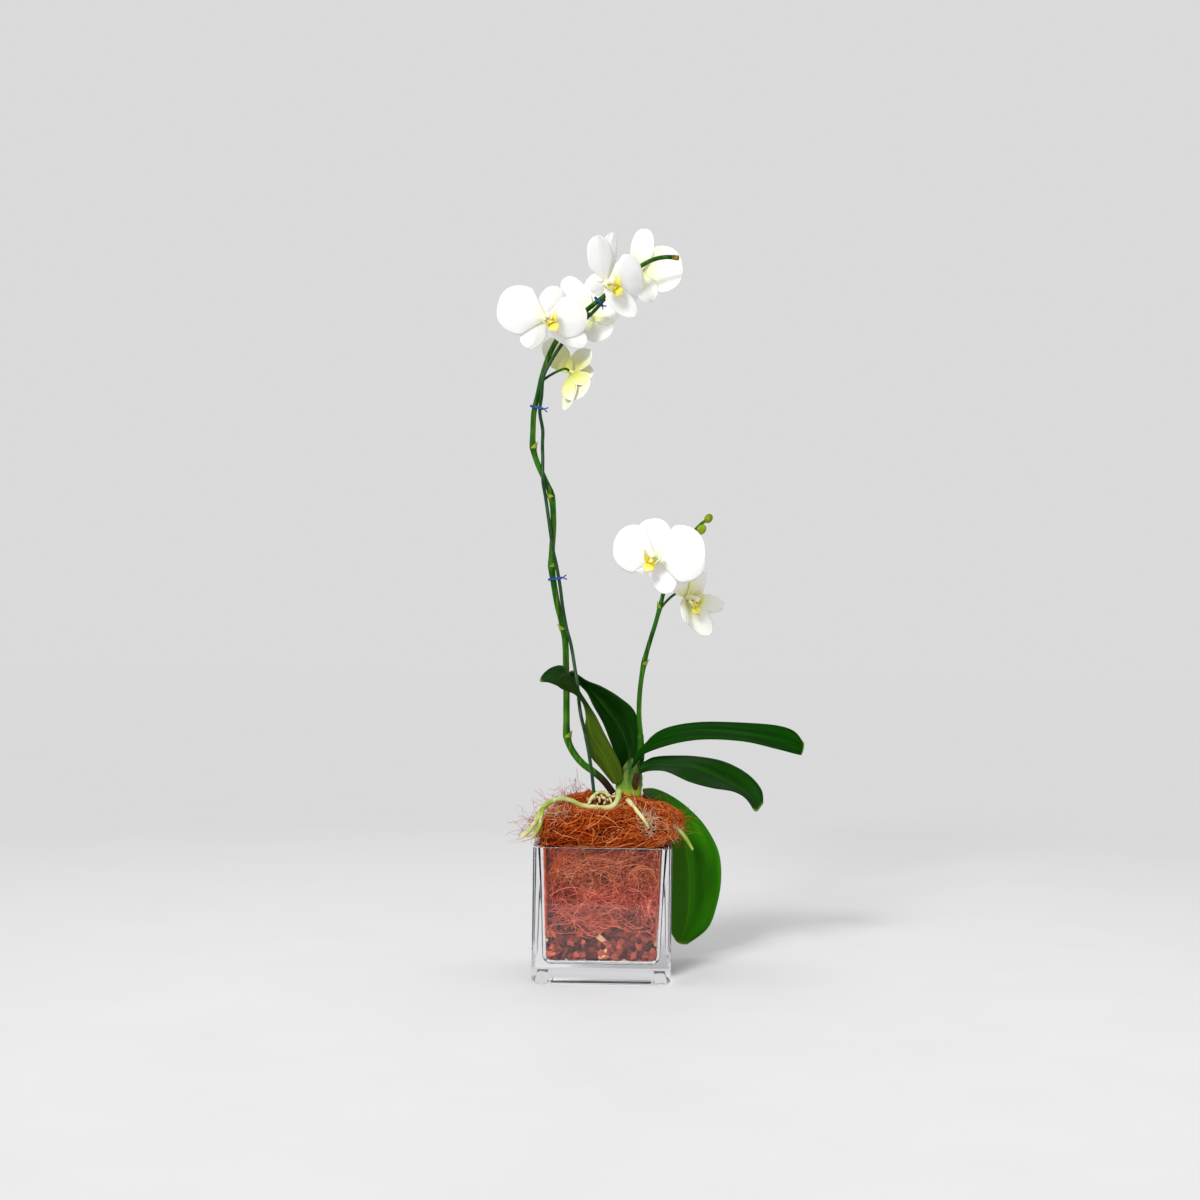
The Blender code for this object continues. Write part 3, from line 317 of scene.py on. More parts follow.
def apply_all(obj):
    choose(obj)
    for step in list(obj.modifiers):
        bpy.ops.object.modifier_apply(modifier=step.name)


# materials


def srgb(red, green, blue, alpha=1.0):
    """A colour of 0 to 255 values as the shader's linear one."""
    out = []
    for value in (red, green, blue):
        c = value / 255
        out.append(c / 12.92 if c <= 0.04045 else ((c + 0.055) / 1.055) ** 2.4)
    return (*out, alpha)


class Finish:
    """A node material under construction: a Principled shader and helpers that add nodes to it."""

    def __init__(self, name, roughness=0.5, specular=0.3):
        self.mat = bpy.data.materials.new(name)
        self.mat.use_nodes = True
        self.nodes = self.mat.node_tree.nodes
        self.links = self.mat.node_tree.links
        self.shader = self.nodes["Principled BSDF"]
        self.shader.inputs["Roughness"].default_value = roughness
        self.shader.inputs["Specular IOR Level"].default_value = specular

    def node(self, kind, **values):
        made = self.nodes.new(kind)
        for key, value in values.items():
            if key in made.inputs:
                made.inputs[key].default_value = value
            else:
                setattr(made, key, value)
        return made

    def link(self, out, into):
        self.links.new(out, into)

    def place(self, source="Object", scale=(1, 1, 1), turn=(0, 0, 0)):
        """Coordinates of the piece, stretched and turned."""
        coords = self.node("ShaderNodeTexCoord")
        mapping = self.node("ShaderNodeMapping")
        mapping.inputs["Scale"].default_value = scale
        mapping.inputs["Rotation"].default_value = turn
        self.link(coords.outputs[source], mapping.inputs["Vector"])
        return mapping.outputs["Vector"]

    def noise(self, vector, scale, detail=4.0, roughness=0.55):
        made = self.node("ShaderNodeTexNoise", Scale=scale, Detail=detail, Roughness=roughness)
        self.link(vector, made.inputs["Vector"])
        return made.outputs["Fac"]

    def attribute(self, name):
        return self.node("ShaderNodeAttribute", attribute_name=name).outputs["Fac"]

    def ramp(self, value, stops):
        made = self.node("ShaderNodeValToRGB")
        line = made.color_ramp
        line.elements[0].position, line.elements[0].color = stops[0]
        line.elements[1].position, line.elements[1].color = stops[-1]
        for at, colour in stops[1:-1]:
            line.elements.new(at).color = colour
        self.link(value, made.inputs["Fac"])
        return made.outputs["Color"]

    def mix(self, share, first, second, mode="MIX"):
        made = self.node("ShaderNodeMix", data_type="RGBA", blend_type=mode)
        for value, socket in ((share, made.inputs[0]), (first, made.inputs[6]), (second, made.inputs[7])):
            if isinstance(value, (int, float, tuple)):
                socket.default_value = value
            else:
                self.link(value, socket)
        return made.outputs[2]

    def sum(self, operation, first, second):
        made = self.node("ShaderNodeMath", operation=operation)
        for value, socket in ((first, made.inputs[0]), (second, made.inputs[1])):
            if isinstance(value, (int, float)):
                socket.default_value = value
            else:
                self.link(value, socket)
        return made.outputs[0]

    def axis(self, vector, name):
        parts = self.node("ShaderNodeSeparateXYZ")
        self.link(vector, parts.inputs[0])
        return parts.outputs[name]

    def bump(self, height, strength, distance):
        made = self.node("ShaderNodeBump", Strength=strength, Distance=distance)
        self.link(height, made.inputs["Height"])
        self.link(made.outputs["Normal"], self.shader.inputs["Normal"])

    def colour(self, source):
        self.link(source, self.shader.inputs["Base Color"])

    def rough(self, value, low, high):
        made = self.node("ShaderNodeMapRange")
        made.inputs["To Min"].default_value = low
        made.inputs["To Max"].default_value = high
        self.link(value, made.inputs["Value"])
        self.link(made.outputs["Result"], self.shader.inputs["Roughness"])


def glass_finish():
    f = Finish("clear_pressed_glass", 0.0, 0.5)
    f.shader.inputs["Base Color"].default_value = (0.925, 0.925, 0.948, 1)
    f.shader.inputs["Transmission Weight"].default_value = 1.0
    f.shader.inputs["IOR"].default_value = 1.48
    f.bump(f.noise(f.place(), 22.0, 2.0), 0.06, 0.002)
    return f.mat


def leaf_finish(name, deep, bright, rib, left=None, beyond=None, roughness=0.42, specular=0.08):
    """Leaf colours with parallel veins and a midrib; left tints one half darker as painted shade, beyond the outer
    part.
    """
    f = Finish(name, roughness, specular)
    uv = f.place("UV")
    across = f.axis(uv, "X")
    along = f.axis(uv, "Y")
    patch = f.noise(f.place("UV", (1.6, 1.0, 1.0)), 2.6, 3.0)
    base = f.mix(f.ramp(patch, [(0.35, (0, 0, 0, 1)), (0.68, (1, 1, 1, 1))]), deep, bright)
    # painted shade: one half of the blade tinted darker, as if turned from the light
    if left:
        half = f.ramp(across, [(0.42, (1, 1, 1, 1)), (0.56, (0, 0, 0, 1))])
        base = f.mix(half, base, left)
    if beyond:
        outer = f.ramp(f.sum("ADD", along, f.sum("MULTIPLY", patch, 0.12)), [(0.40, (0, 0, 0, 1)), (0.52, (1, 1, 1, 1))])
        base = f.mix(outer, base, beyond)
    streak = f.noise(f.place("UV", (38.0, 1.2, 1.0)), 3.0, 3.0, 0.6)
    base = f.mix(f.ramp(streak, [(0.45, (0, 0, 0, 1)), (0.8, (0.22, 0.22, 0.22, 1))]), base, rib)
    off = f.sum("ABSOLUTE", f.sum("SUBTRACT", across, 0.5), 0.0)
    line = f.ramp(off, [(0.0, (0.55, 0.55, 0.55, 1)), (0.022, (0, 0, 0, 1))])
    base = f.mix(line, base, rib)
    tip = f.ramp(along, [(0.965, (0, 0, 0, 1)), (1.0, (0.6, 0.6, 0.6, 1))])
    f.colour(f.mix(tip, base, srgb(150, 160, 70)))
    f.bump(streak, 0.25, 0.0006)
    f.rough(patch, roughness - 0.06, roughness + 0.1)
    f.shader.inputs["Subsurface Weight"].default_value = 0.04
    f.shader.inputs["Subsurface Radius"].default_value = (0.002, 0.004, 0.001)
    return f.mat


def petal_finish(name, edge, half_way, throat, reach, vein):
    """Petal colours: the edge's over most of it, the throat's up to `reach` of its length."""
    f = Finish(name, 0.55, 0.2)
    uv = f.place("UV")
    along = f.axis(uv, "Y")
    veins = f.noise(f.place("UV", (26.0, 1.6, 1.0)), 2.2, 4.0, 0.6)
    grow = f.sum("ADD", along, f.sum("MULTIPLY", veins, 0.12))
    base = f.ramp(grow, [(0.03, throat), (0.45 * reach, half_way), (reach, edge)])
    f.colour(f.mix(f.ramp(veins, [(0.5, (0, 0, 0, 1)), (0.75, (0.35, 0.35, 0.35, 1))]), base, vein))
    f.bump(veins, 0.35, 0.0005)
    f.shader.inputs["Subsurface Weight"].default_value = 0.35
    f.shader.inputs["Subsurface Radius"].default_value = (0.004, 0.004, 0.003)
    f.shader.inputs["Sheen Weight"].default_value = 0.15
    return f.mat


def lip_finish():
    """White lobes turning yellow inwards, with orange-red streaks and specks at the heart."""
    f = Finish("lip_yellow", 0.4, 0.35)
    uv = f.place("UV")
    along = f.axis(uv, "Y")
    base = f.ramp(along, [(0.0, srgb(230, 178, 4)), (0.3, srgb(232, 214, 16)),
                          (0.55, srgb(234, 228, 90)), (0.85, srgb(240, 238, 196))])
    streak = f.noise(f.place("UV", (16.0, 2.0, 1.0)), 3.2, 3.0, 0.6)
    speck = f.ramp(f.sum("ADD", streak, f.sum("MULTIPLY", along, -0.28)),
                   [(0.5, (0, 0, 0, 1)), (0.58, (0.9, 0.9, 0.9, 1))])
    f.colour(f.mix(speck, base, srgb(200, 84, 6)))
    f.bump(streak, 0.3, 0.0005)
    f.shader.inputs["Subsurface Weight"].default_value = 0.2
    f.shader.inputs["Subsurface Radius"].default_value = (0.003, 0.002, 0.001)
    return f.mat


def plain_finish(name, dark, light, scale, roughness, specular=0.3, stretch=(1, 1, 1), bump=0.2):
    """Two tones mixed by a noise on the piece, with a matching fine relief."""
    f = Finish(name, roughness, specular)
    value = f.noise(f.place("Object", stretch), scale, 5.0, 0.6)
    f.colour(f.ramp(value, [(0.32, dark), (0.7, light)]))
    f.bump(value, bump, 0.0008)
    f.rough(value, roughness - 0.08, roughness + 0.08)
    return f.mat


def stem_finish(name, foot_dark):
    """Green stem with fine lighter stripes, partly its striations and partly painted highlight, and dried brown near
    the foot where foot_dark is set.
    """
    f = Finish(name, 0.5, 0.12)
    place = f.place()
    striation_and_highlight = f.noise(f.place("Object", (420.0, 420.0, 14.0)), 1.0, 3.0, 0.6)
    patch = f.noise(place, 32.0, 3.0)
    base = f.mix(f.ramp(patch, [(0.4, (0, 0, 0, 1)), (0.7, (1, 1, 1, 1))]), srgb(14, 62, 0), srgb(50, 114, 4))
    # lighter stripes: the stem's striations, partly painted highlight
    base = f.mix(f.ramp(striation_and_highlight, [(0.5, (0, 0, 0, 1)), (0.75, (0.5, 0.5, 0.5, 1))]), base, srgb(112, 160, 28))
    if foot_dark:
        height = f.sum("ADD", f.axis(place, "Z"), f.sum("MULTIPLY", patch, 0.016))
        low = f.ramp(height, [(0.176, (1, 1, 1, 1)), (0.192, (0, 0, 0, 1))])
        base = f.mix(low, base, srgb(44, 26, 16))
    f.colour(base)
    f.bump(striation_and_highlight, 0.3, 0.0004)
    return f.mat


def root_finish():
    """Silvery skin over green, patchy, with pale dry flakes."""
    f = Finish("root_skin", 0.7, 0.08)
    flakes = f.noise(f.place(), 170.0, 5.0, 0.65)
    patch = f.noise(f.place(), 45.0, 2.0)
    base = f.mix(f.ramp(patch, [(0.38, (0, 0, 0, 1)), (0.62, (1, 1, 1, 1))]), srgb(142, 164, 56), srgb(204, 206, 142))
    f.colour(f.mix(f.ramp(flakes, [(0.52, (0, 0, 0, 1)), (0.72, (0.8, 0.8, 0.8, 1))]), base, srgb(236, 230, 205)))
    f.bump(flakes, 0.5, 0.0008)
    return f.mat


def fibre_finish(name, stops, roughness=0.6, specular=0.06, low=None):
    """Fibres or chips coloured one by one by their own tone; low is (height, tint below it), the tint a painted
    reflection of the floor in the glass.
    """
    f = Finish(name, roughness, specular)
    grain = f.noise(f.place(), 300.0, 3.0)
    tone = f.sum("ADD", f.attribute("tone"), f.sum("MULTIPLY", f.sum("SUBTRACT", grain, 0.5), 0.35))
    base = f.ramp(tone, stops)
    if low:
        # painted reflection: below the height the tone is tinted, standing for the floor reflected in the glass
        height, reflection_tint = low
        place = f.place()
        edge = f.sum("ADD", f.axis(place, "Z"), f.sum("MULTIPLY", f.noise(place, 26.0, 2.0), 0.02))
        under = f.ramp(edge, [(height + 0.008, (1, 1, 1, 1)), (height + 0.012, (0, 0, 0, 1))])
        base = f.mix(under, base, f.mix(1.0, base, reflection_tint, "MULTIPLY"))
        warm = f.ramp(f.noise(place, 17.0, 1.0), [(0.55, (0, 0, 0, 1)), (0.72, (0.7, 0.7, 0.7, 1))])
        base = f.mix(warm, base, srgb(206, 84, 12))
    f.colour(base)
    f.bump(grain, 0.4, 0.0006)
    return f.mat


def crown_finish():
    """Yellow-green foot turning deep green above, with upright ribs."""
    f = Finish("crown_green", 0.5, 0.1)
    place = f.place()
    rib = f.noise(f.place("Object", (240.0, 240.0, 12.0)), 1.0, 3.0)
    height = f.sum("ADD", f.axis(place, "Z"), f.sum("MULTIPLY", rib, 0.008))
    base = f.ramp(height, [(0.150, srgb(196, 200, 60)), (0.160, srgb(150, 176, 44)),
                           (0.170, srgb(74, 120, 28)), (0.182, srgb(30, 70, 14))])
    f.colour(f.mix(f.ramp(rib, [(0.45, (0, 0, 0, 1)), (0.8, (0.4, 0.4, 0.4, 1))]), base, srgb(205, 210, 110)))
    f.bump(rib, 0.35, 0.0008)
    return f.mat


# shapes


def sheet(name, across, along, place, thickness, front=None, back=None):
    """A grid laid over place(u, v) and given a thickness; its back can have its own material."""
    deselect()
    bpy.ops.mesh.primitive_grid_add(x_subdivisions=across, y_subdivisions=along, size=1)
    obj = bpy.context.object
    obj.name = name
    for vert in obj.data.vertices:
        vert.co = place(vert.co.x + 0.5, vert.co.y + 0.5)
    if front:
        obj.data.materials.append(front)
    solid = obj.modifiers.new("thickness", "SOLIDIFY")
    solid.thickness = thickness
    solid.offset = 0
    if back:
        obj.data.materials.append(back)
        solid.material_offset = 1
    apply_all(obj)
    bpy.ops.object.shade_smooth()
    return obj


def tube(name, points, radii, resolution=3, closed=False):
    """A path curve along points, thickened by a radius for each, made a mesh."""
    if not isinstance(radii, (list, tuple)):
        radii = [radii] * len(points)
    deselect()
    bpy.ops.curve.primitive_nurbs_path_add()
    obj = bpy.context.object
    curve = obj.data
    curve.splines.clear()
    curve.bevel_depth = MM
    curve.bevel_resolution = resolution
    curve.use_fill_caps = True
    spline = curve.splines.new("POLY")
    spline.points.add(len(points) - 1)
    spline.use_cyclic_u = closed
    for knot, place, radius in zip(spline.points, points, radii):
        knot.co = (*place, 1)
        knot.radius = radius / MM
    bpy.ops.object.convert(target="MESH")
    obj = bpy.context.object
    obj.name = name
    bpy.ops.object.mode_set(mode="EDIT")
    bpy.ops.mesh.select_all(action="SELECT")
    bpy.ops.mesh.remove_doubles(threshold=0.00001)
    bpy.ops.mesh.normals_make_consistent(inside=False)
    bpy.ops.object.mode_set(mode="OBJECT")
    bpy.ops.object.shade_smooth()
    return obj


def loft(name, rings, close=True):
    """A skin through rings of equal count, from a grid rolled up and closed at both ends."""
    count, rows = len(rings[0]), len(rings)
    deselect()
    bpy.ops.mesh.primitive_grid_add(x_subdivisions=count, y_subdivisions=rows - 1, size=1)
    obj = bpy.context.object
    obj.name = name
    for vert in obj.data.vertices:
        ring = rings[round((vert.co.y + 0.5) * (rows - 1))]
        vert.co = ring[round((vert.co.x + 0.5) * count) % count]
    bpy.ops.object.mode_set(mode="EDIT")
    bpy.ops.mesh.select_all(action="SELECT")
    bpy.ops.mesh.remove_doubles(threshold=0.000001)
    if close:
        bpy.ops.mesh.select_all(action="DESELECT")
        bpy.ops.mesh.select_non_manifold()
        bpy.ops.mesh.fill_holes(sides=0)
    bpy.ops.mesh.select_all(action="SELECT")
    bpy.ops.mesh.normals_make_consistent(inside=False)
    bpy.ops.object.mode_set(mode="OBJECT")
    bpy.ops.object.shade_smooth()
    return obj


def round_block(name, side, height, base, corner, corner_steps, foot, foot_steps, narrow=1.0):
    """A cube with rounded upright edges and a rounded foot, its foot narrowed."""
    deselect()
    bpy.ops.mesh.primitive_cube_add(size=1, location=(0, 0, base + height / 2), scale=(side, side, height))
    obj = bpy.context.object
    obj.name = name
    bpy.ops.object.transform_apply(location=True, rotation=False, scale=True)
    for vert in obj.data.vertices:
        if vert.co.z < base + height / 2:
            vert.co.x *= narrow
            vert.co.y *= narrow
    select_edges(obj, lambda a, b: abs(a.z - b.z) > height / 2)
    bpy.ops.mesh.bevel(offset=corner, segments=corner_steps)
    if foot:
        select_edges(obj, lambda a, b: max(a.z, b.z) < base + 1e-6)
        bpy.ops.mesh.bevel(offset=foot, segments=foot_steps)
    bpy.ops.object.mode_set(mode="OBJECT")
    return obj


def select_edges(obj, test):
    """Enter edit mode with the edges selected whose two ends pass the test."""
    if obj.mode != "OBJECT":
        bpy.ops.object.mode_set(mode="OBJECT")
    choose(obj)
    bpy.ops.object.mode_set(mode="EDIT")
    bpy.ops.mesh.select_mode(type="EDGE")
    bpy.ops.mesh.select_all(action="DESELECT")
    bpy.ops.object.mode_set(mode="OBJECT")
    for edge in obj.data.edges:
        a, b = (obj.data.vertices[i].co for i in edge.vertices)
        edge.select = test(a, b)
    bpy.ops.object.mode_set(mode="EDIT")


def bundle(name, fibres):
    """Many thin three-sided fibres in one mesh. A fibre is (points, radius, tone)."""
    verts, faces, tones = [], [], []
    for points, radius, tone in fibres:
        start = len(verts)
        last = len(points) - 1
        for i, place in enumerate(points):
            ahead = (points[min(i + 1, last)] - points[max(i - 1, 0)]).normalized()
            side = ahead.orthogonal().normalized()
            other = ahead.cross(side)
            width = radius * (1.0 if 0 < i < last else 0.35)
            for k in range(3):
                a = 2.0944 * k
                verts.append(place + (side * math.cos(a) + other * math.sin(a)) * width)
                tones.append(tone)
        for i in range(last):
            low = start + 3 * i
            for k in range(3):
                j = (k + 1) % 3
                faces.append((low + k, low + j, low + 3 + j, low + 3 + k))
        faces.append((start + 2, start + 1, start))
        end = start + 3 * last
        faces.append((end, end + 1, end + 2))
    mesh = bpy.data.meshes.new(name)
    mesh.from_pydata(verts, [], faces)
    attribute = mesh.attributes.new("tone", "FLOAT", "POINT")
    attribute.data.foreach_set("value", tones)
    obj = bpy.data.objects.new(name, mesh)
    bpy.context.scene.collection.objects.link(obj)
    choose(obj)
    bpy.ops.object.shade_smooth()
    return obj


def cavity_half(height, inset=0.0):
    """Half the width of the vase's inside at a height, less an inset."""
    share = (height - GLASS_FLOOR) / (VASE_HEIGHT - GLASS_FLOOR)
    wall = WALL_AT_FLOOR + (WALL_AT_RIM - WALL_AT_FLOOR) * share
    return VASE_SIDE / 2 - wall - inset


def make_vase():
    vase = round_block("vase_glass_body", VASE_SIDE, VASE_HEIGHT, 0, VASE_CORNER, 10, VASE_FOOT_ROUND, 5)
    over = 10 * MM
    top = 2 * cavity_half(VASE_HEIGHT + over)
    narrow = cavity_half(GLASS_FLOOR) / cavity_half(VASE_HEIGHT + over)
    hollow = round_block("hollow", top, VASE_HEIGHT - GLASS_FLOOR + over, GLASS_FLOOR,
                         CAVITY_CORNER, 10, CAVITY_FLOOR_ROUND, 8, narrow)
    recess = round_block("recess", RECESS_SIDE, 2 * RECESS_DEPTH, -RECESS_DEPTH, CAVITY_CORNER, 8, 0, 1)
    for tool in (hollow, recess):
        cut = vase.modifiers.new("cut", "BOOLEAN")
        cut.operation = "DIFFERENCE"
        cut.object = tool
    rim = vase.modifiers.new("rim", "BEVEL")
    rim.width = RIM_ROUND
    rim.segments = 4
    rim.limit_method = "ANGLE"
    rim.angle_limit = math.radians(60)
    apply_all(vase)
    bpy.data.objects.remove(hollow)
    bpy.data.objects.remove(recess)
    choose(vase)
    bpy.ops.object.shade_smooth_by_angle(angle=math.radians(35))
    vase.visible_shadow = False
    settle(vase, "glass_vase", [glass_finish()])
    # painted shade: a dark ring under the glass floor, not a part of the vase, that paints the dark line of shade
    # under the base
    half, bend = RECESS_SIDE / 2 - 1.2 * MM, CAVITY_CORNER
    line = []
    for quarter in range(4):
        for k in range(7):
            a = math.radians(90 * quarter + 15 * k)
            corner = Vector((math.cos(math.radians(45 + 90 * quarter)), math.sin(math.radians(45 + 90 * quarter)), 0))
            middle = corner * (half - bend) * math.sqrt(2)
            line.append(middle + Vector((math.cos(a), math.sin(a), 0)) * bend + Vector((0, 0, 1.1 * MM)))
    edge = tube("vase_underside_painted_shade", line, 1.0 * MM, 2, closed=True)
    edge.visible_shadow = False
    settle(edge, "glass_vase",
           [plain_finish("glass_edge_shade", srgb(8, 10, 14), srgb(40, 46, 52), 60.0, 0.4)])


def chip_shape(rng):
    """One angular flake of bark: a cube cut once across, with its corners pushed about."""
    deselect()
    bpy.ops.mesh.primitive_cube_add(size=1)
    obj = bpy.context.object
    obj.name = "chip"
    bpy.ops.object.mode_set(mode="EDIT")
    bpy.ops.mesh.subdivide(number_cuts=1)
    bpy.ops.object.mode_set(mode="OBJECT")
    for vert in obj.data.vertices:
        pull = 0.9 if vert.co.length > 0.8 else 1.0
        vert.co = vert.co * pull + Vector([rng.uniform(-0.17, 0.17) for _ in range(3)])
    return obj


def make_bark():
    """Bark chips heaped on the glass floor, seen all round through the walls."""
    rng = random.Random(21)
    shapes = [chip_shape(rng) for _ in range(6)]
    core_top = 2 * cavity_half(BARK_TOP, 6 * MM)
    core = round_block("core", core_top, BARK_TOP - GLASS_FLOOR - 5 * MM, GLASS_FLOOR + 1.5 * MM,
                       6 * MM, 3, 5 * MM, 2, 0.94)
    pieces = [core]
    # the core takes the darkest tone: painted shade in the gaps between the chips
    tone = core.data.attributes.new("tone", "FLOAT", "POINT")
    tone.data.foreach_set("value", [0.0] * len(core.data.vertices))
    places = []
    for side in range(4):
        turn = Matrix.Rotation(side * math.pi / 2, 4, "Z")
        for row in range(9):
            height = GLASS_FLOOR + (2.6 + row * 3.3) * MM
            half = cavity_half(height)
            for i in range(17):
                along = (-0.93 + 1.86 * (i + rng.uniform(0.1, 0.9)) / 17) * (half - 1.5 * MM)
                crest = 25 + 5 * math.sin(along * 90 + side) + 3 * math.sin(along * 200)
                if height > GLASS_FLOOR + crest * MM:
                    continue
                depth = 2.3 * MM + rng.uniform(0, 1.6) * MM
                if row < 2:
                    depth += (2 - row) * 1.8 * MM
                places.append(turn @ Vector((along, -half + depth, height + rng.uniform(-1, 1) * MM)))
    for _ in range(330):
        reach = cavity_half(BARK_TOP) - 3 * MM
        places.append(Vector((rng.uniform(-reach, reach), rng.uniform(-reach, reach),
                              GLASS_FLOOR + rng.uniform(24, 29) * MM)))
    for place in places:
        base = rng.choice(shapes)
        chip = base.copy()
        chip.data = base.data.copy()
        bpy.context.scene.collection.objects.link(chip)
        size = Vector((rng.uniform(4.5, 10), rng.uniform(1.8, 3.4), rng.uniform(2.8, 6))) * MM
        spin = Matrix.Rotation(math.atan2(place.x, -place.y), 4, "Z") if rng.random() < 0.6 else Matrix()
        spin = spin @ Matrix.Rotation(rng.uniform(-1.3, 1.3), 4, "Y") @ Matrix.Rotation(rng.gauss(0, 0.45), 4, "Z")
        chip.data.transform(Matrix.Translation(place) @ spin @ Matrix.Diagonal((*size, 1)))
        attribute = chip.data.attributes.new("tone", "FLOAT", "POINT")
        shade = rng.uniform(0.1, 0.82) if rng.random() < 0.975 else 1.0
        attribute.data.foreach_set("value", [shade] * len(chip.data.vertices))
        pieces.append(chip)
    for shape in shapes:
        bpy.data.objects.remove(shape)
    bark = join("bark_chip_bed", pieces)
    inside = 0.5 * MM
    for vert in bark.data.vertices:
        vert.co.z = max(vert.co.z, GLASS_FLOOR + inside)
        half = cavity_half(vert.co.z, inside)
        low = vert.co.z - GLASS_FLOOR
        if low < CAVITY_FLOOR_ROUND:
            half -= CAVITY_FLOOR_ROUND * (1 - math.sqrt(1 - (1 - low / CAVITY_FLOOR_ROUND) ** 2))
        reach = max(abs(vert.co.x), abs(vert.co.y)) / half
        near = min(abs(vert.co.x), abs(vert.co.y)) / half
        corner = 1.0 + 0.045 * max(0.0, near - 0.86) / 0.14
        if reach * corner > 1:
            vert.co.x /= reach * corner
            vert.co.y /= reach * corner
    stops = [(0.0, srgb(30, 10, 8)), (0.3, srgb(74, 26, 20)), (0.55, srgb(118, 48, 38)),
             (0.8, srgb(158, 74, 54)), (1.0, srgb(206, 158, 116))]
    settle(bark, "bark_chips", [fibre_finish("bark_skin", stops, 0.75)])


def coir_row(at):
    """The coir's ring at a level counted in rows, as its five sizes."""
    low = min(int(at), len(COIR_RINGS) - 2)
    t = at - low
    return [a + (b - a) * t for a, b in zip(COIR_RINGS[low], COIR_RINGS[low + 1])]


def coir_surface(angle, level, sink):
    """A point of the coir's outside and its outward direction, sunk in by some mm."""
    z, x0, x1, y0, y1 = coir_row(level)
    c, s = math.cos(angle), math.sin(angle)
    reach = (abs(c) ** 5 + abs(s) ** 5) ** (-1 / 5)
    middle = Vector(((x0 + x1) / 2, (y0 + y1) / 2, z))
    place = middle + Vector(((x1 - x0) / 2 * c * reach, (y1 - y0) / 2 * s * reach, 0))
    out = (place - Vector((8, 0, 122))).normalized() if level > 3 else Vector((c, s, 0)).normalized()
    lump = 6.0 * noise.noise(place * 0.06) * min(1.0, max(0.0, level - 3))
    return (place + out * (lump - sink)) * MM, out


def on_dome(x, y, proud):
    """Where the view's ray through a pixel meets the dome, brought forward by `proud` mm."""
    depth = -62.0
    while depth < -20:
        place = spot((x, y, depth)) / MM
        level = next((k for k in range(3, 9) if COIR_RINGS[k + 1][0] > place.z), 8)
        low, high = COIR_RINGS[level], COIR_RINGS[level + 1]
        _, x0, x1, y0, y1 = coir_row(level + min(1.0, max(0.0, (place.z - low[0]) / (high[0] - low[0]))))
        across = (2 * place.x - x0 - x1) / (x1 - x0)
        deep = (2 * place.y - y0 - y1) / (y1 - y0)
        if abs(across) ** 5 + abs(deep) ** 5 < 1:
            break
        depth += 0.5
    return spot((x, y, depth - proud))


def coir_core():
    """The dense middle of the filling, with hollows and lumps, a few mm inside its outside, painted dark as shade
    between the fibres.
    """
    rings = []
    levels = [0, 0.3, 0.6, 0.9, 1.2, 1.5, 1.8, 2.1, 2.5, 3, 3.5, 4, 4.5, 5, 5.5, 6, 6.5, 7, 7.5, 8, 8.5, 9]
    for level in levels:
        ring = []
        for k in range(96):
            angle = 2 * math.pi * (k + 0.5) / 96
            place, out = coir_surface(angle, level, 3.2)
            lump = noise.noise(place * 55) * 2.2 + noise.noise(place * 160) * 1.2
            ring.append(drop_in(place + out * lump * MM))
        rings.append(ring)
    core = loft("coir_core", rings)
    tone = core.data.attributes.new("tone", "FLOAT", "POINT")
    values = []
    for vert in core.data.vertices:
        # a low tone: the core is painted dark as shade between the fibres over it
        values.append(0.12 + 0.3 * noise.noise(vert.co * 40 + Vector((7, 3, 1))))
    tone.data.foreach_set("value", values)
    return core


def wall_fibres(rng, count, near, far):
    """Fibres pressed against the four glass walls, between two depths in mm behind them."""
    fibres = []
    for side in range(4):
        turn = Matrix.Rotation(side * math.pi / 2, 3, "Z")
        for _ in range(count):
            x, z = rng.uniform(-50, 50), rng.uniform(42, 117)
            stride = rng.uniform(2.2, 5.0)
            own = rng.gauss(0, 0.6) if rng.random() < 0.75 else rng.uniform(-1.6, 1.6)
            curl = rng.gauss(0, 0.13)
            depth = rng.uniform(near, far)
            points = []
            for i in range(11):
                floor = 44 + 4 * math.sin(x * 0.09 + side) + 2.4 * math.sin(x * 0.2)
                held = min(max(z, floor), 116.4)
                limit = cavity_half(held * MM, COIR_GAP) / MM - 0.25
                out = min(limit, limit - depth - 0.4 * math.sin(i * 0.8 + x * 0.37))
                points.append(turn @ (Vector((min(max(x, 3.5 - limit), limit - 3.5), -out, held)) * MM))
                comb = 2.2 * noise.noise(Vector((x * 0.03, z * 0.04, side * 7.3))) + own + curl * i
                x += stride * math.cos(comb)
                z += stride * math.sin(comb)
            if (points[0] - points[-1]).length < 5 * MM:
                continue
            # deeper fibres are painted darker: painted shade behind the fibres in front
            tone = min(0.98, max(0.1, rng.gauss(0.62, 0.25) - depth * 0.08))
            fibres.append((points, rng.uniform(0.10, 0.22) * MM, tone))
    return fibres


def arc_of_level(level):
    """How many mm of the coir's surface one level spans there."""
    low = min(int(level), len(COIR_RINGS) - 2)
    a, b = COIR_RINGS[low], COIR_RINGS[low + 1]
    return max(4.0, math.hypot(b[0] - a[0], b[3] - a[3]))


